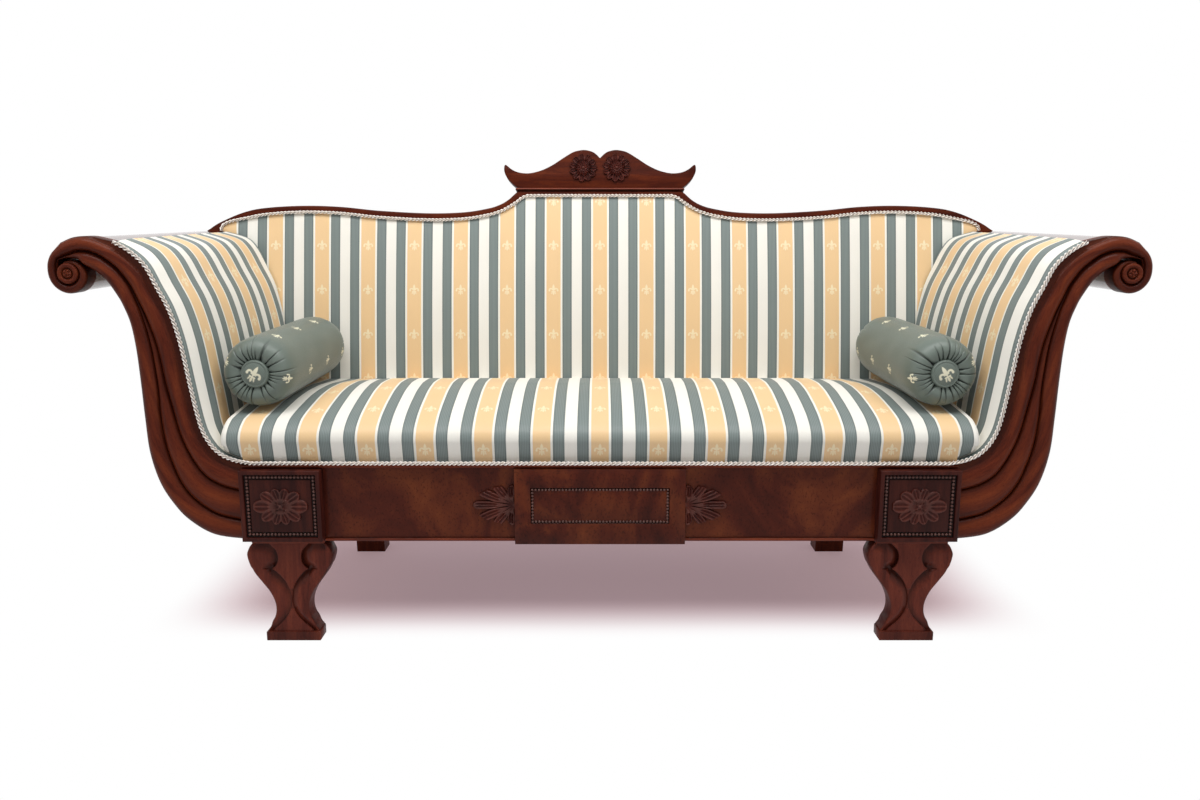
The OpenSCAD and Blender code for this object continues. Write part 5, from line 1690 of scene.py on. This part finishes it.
springPlaces = [at(end * share * (armX - spring["sideIn"]), spring["railFront"] + springDeep * row, 0)
                for end in (-1, 1) for share in spring["shares"] for row in spring["rows"]]
coils = tubes("seatSprings", [springRings(place) for place in springPlaces])
dress(coils, steel, "seat_springs")


# black cloth under the seat, tacked round its edge and hanging a little between

lining = {"thick": 0.0006, "sag": 0.004, "across": 60, "deep": 20}
low, high = lowOf("bottom_cloth"), highOf("bottom_cloth")
rows = []
for u in between(0, 1, lining["across"]):
    row = []
    for v in between(0, 1, lining["deep"]):
        sag = lining["sag"] * math.sin(math.pi * u) ** 0.5 * math.sin(math.pi * v) ** 0.5
        row.append(Vector((low.x + (high.x - low.x) * u, low.y + (high.y - low.y) * v,
                           high.z - lining["thick"] - sag)))
    rows.append(row)
under = surface("bottomCloth", rows)
thick = under.modifiers.new("thick", "SOLIDIFY")
thick.thickness = lining["thick"]
applyModifiers(under)
dress(under, blackCloth, "bottom_cloth")
print("springs and lining made")


# finishes on the pieces that keep their drawn shape

finishes = [
    (flameVeneer, ["front_rail"]),
    (beech, ["rear_rail", "corner_braces", "back_bottom_rail"]),
    (beechDeep, ["side_rail_left", "side_rail_right", "seat_stretchers", "arm_board_left",
                 "arm_board_right"]),
    (beechUp, ["back_centre_upright"]),
    (plainUp, ["rear_leg_left", "rear_leg_right", "arm_rear_frame_left", "arm_rear_frame_right"]),
    (jute, ["back_webbing", "seat_webbing", "seat_underlay"]),
]
for material, nodes in finishes:
    for node in nodes:
        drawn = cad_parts[node]
        drawn.data.materials.clear()
        drawn.data.materials.append(material)


# floor, light and camera

def seenWhite(desk):
    # 1 where the camera, or a reflection in polish or glass, looks at it
    path = desk.node("ShaderNodeLightPath")
    rays = [desk.wire(path, kind) for kind in ("Is Camera Ray", "Is Glossy Ray", "Is Transmission Ray")]
    return desk.clamped(rays[0] + rays[1] + rays[2])


# the shadow lies under the settee only: it fades at both sides, at the front and behind, each from a place
# and over a width
# under and glow tint the floor and its glow pink beneath the settee: a painted shadow colour
floorLook = {"tint": (0.95, 0.93, 0.95), "under": (0.93, 0.72, 0.77), "glow": (1.0, 0.70, 0.75), "near": 0.26,
             "side": (0.66, 0.30), "front": (-0.09, 0.20), "rear": (0.50, 0.60)}
bpy.ops.object.select_all(action="DESELECT")
bpy.ops.mesh.primitive_plane_add(size=24, location=(0, 4, 0))
floor = bpy.context.object
floor.name = "studioFloor"
bpy.ops.object.transform_apply(location=True, rotation=True, scale=True)
desk = Desk(bpy.data.materials.new("paleFloor"))
x, y = desk.parts(desk.objectPlace())[:2]
beside = desk.clamped((abs(x) - floorLook["side"][0]) / floorLook["side"][1])
before = desk.clamped((floorLook["front"][0] - y) / floorLook["front"][1])
behind = desk.clamped((y - floorLook["rear"][0]) / floorLook["rear"][1])
inside = [1.0 - t * t * (3.0 - t * 2.0) for t in (beside, before, behind)]
away = 1.0 - inside[0] * inside[1] * inside[2]
share = seenWhite(desk) * (floorLook["near"] + away * (1 - floorLook["near"]))
matte = desk.node("ShaderNodeBsdfDiffuse", {"Color": desk.mixed(floorLook["under"], floorLook["tint"], away)})
glow = desk.node("ShaderNodeEmission", {"Color": desk.mixed(floorLook["glow"], (1.0, 1.0, 1.0), away)})
both = desk.node("ShaderNodeMixShader", {0: share, 1: desk.wire(matte), 2: desk.wire(glow)})
desk.node("ShaderNodeOutputMaterial", {0: desk.wire(both)})
floor.data.materials.append(desk.block)

studio = Desk(bpy.data.worlds.new("studio"))
bpy.context.scene.world = studio.block
ambient = studio.node("ShaderNodeBackground", {"Color": (0.96, 0.98, 1.0, 1), "Strength": 0.245})
plain = studio.node("ShaderNodeBackground", {"Color": (1.0, 1.0, 1.0, 1), "Strength": 1.0})
shaders = {0: seenWhite(studio), 1: studio.wire(ambient), 2: studio.wire(plain)}
studio.node("ShaderNodeOutputWorld", {0: studio.wire(studio.node("ShaderNodeMixShader", shaders))})

lamps = {
    "overhead": {"place": (0, -0.62, 2.20), "aim": (0, 0.0, 0.5), "size": (3.2, 0.8), "power": 45},
    "frontSoft": {"place": (0, -3.4, 1.9), "aim": (0, 0, 0.45), "size": (3.2, 1.4), "power": 3},
    "leftSoft": {"place": (-2.9, -1.6, 1.6), "aim": (0, 0, 0.5), "size": (1.4, 1.4), "power": 6},
    "rightSoft": {"place": (2.9, -1.6, 1.6), "aim": (0, 0, 0.5), "size": (1.4, 1.4), "power": 6},
}
for name, lamp in lamps.items():
    bpy.ops.object.light_add(type="AREA", location=lamp["place"])
    light = bpy.context.object
    light.name = name
    light.data.shape = "RECTANGLE"
    light.data.size, light.data.size_y = lamp["size"]
    light.data.energy = lamp["power"]
    aim = Vector(lamp["aim"]) - Vector(lamp["place"])
    light.rotation_euler = aim.to_track_quat("-Z", "Y").to_euler()

view = {"back": 1.6464, "height": 0.8484, "tilt": 9.6, "lens": 26.25, "shift": -0.0333}
bpy.ops.object.camera_add(location=(0, settee["front"] - view["back"], view["height"]),
                          rotation=(math.radians(90 - view["tilt"]), 0, 0))
camera = bpy.context.object
camera.data.sensor_width = 36
camera.data.lens = view["lens"]
camera.data.shift_y = view["shift"]
bpy.context.scene.camera = camera
bpy.context.scene.view_settings.view_transform = "Standard"
print("floor, light and camera set")
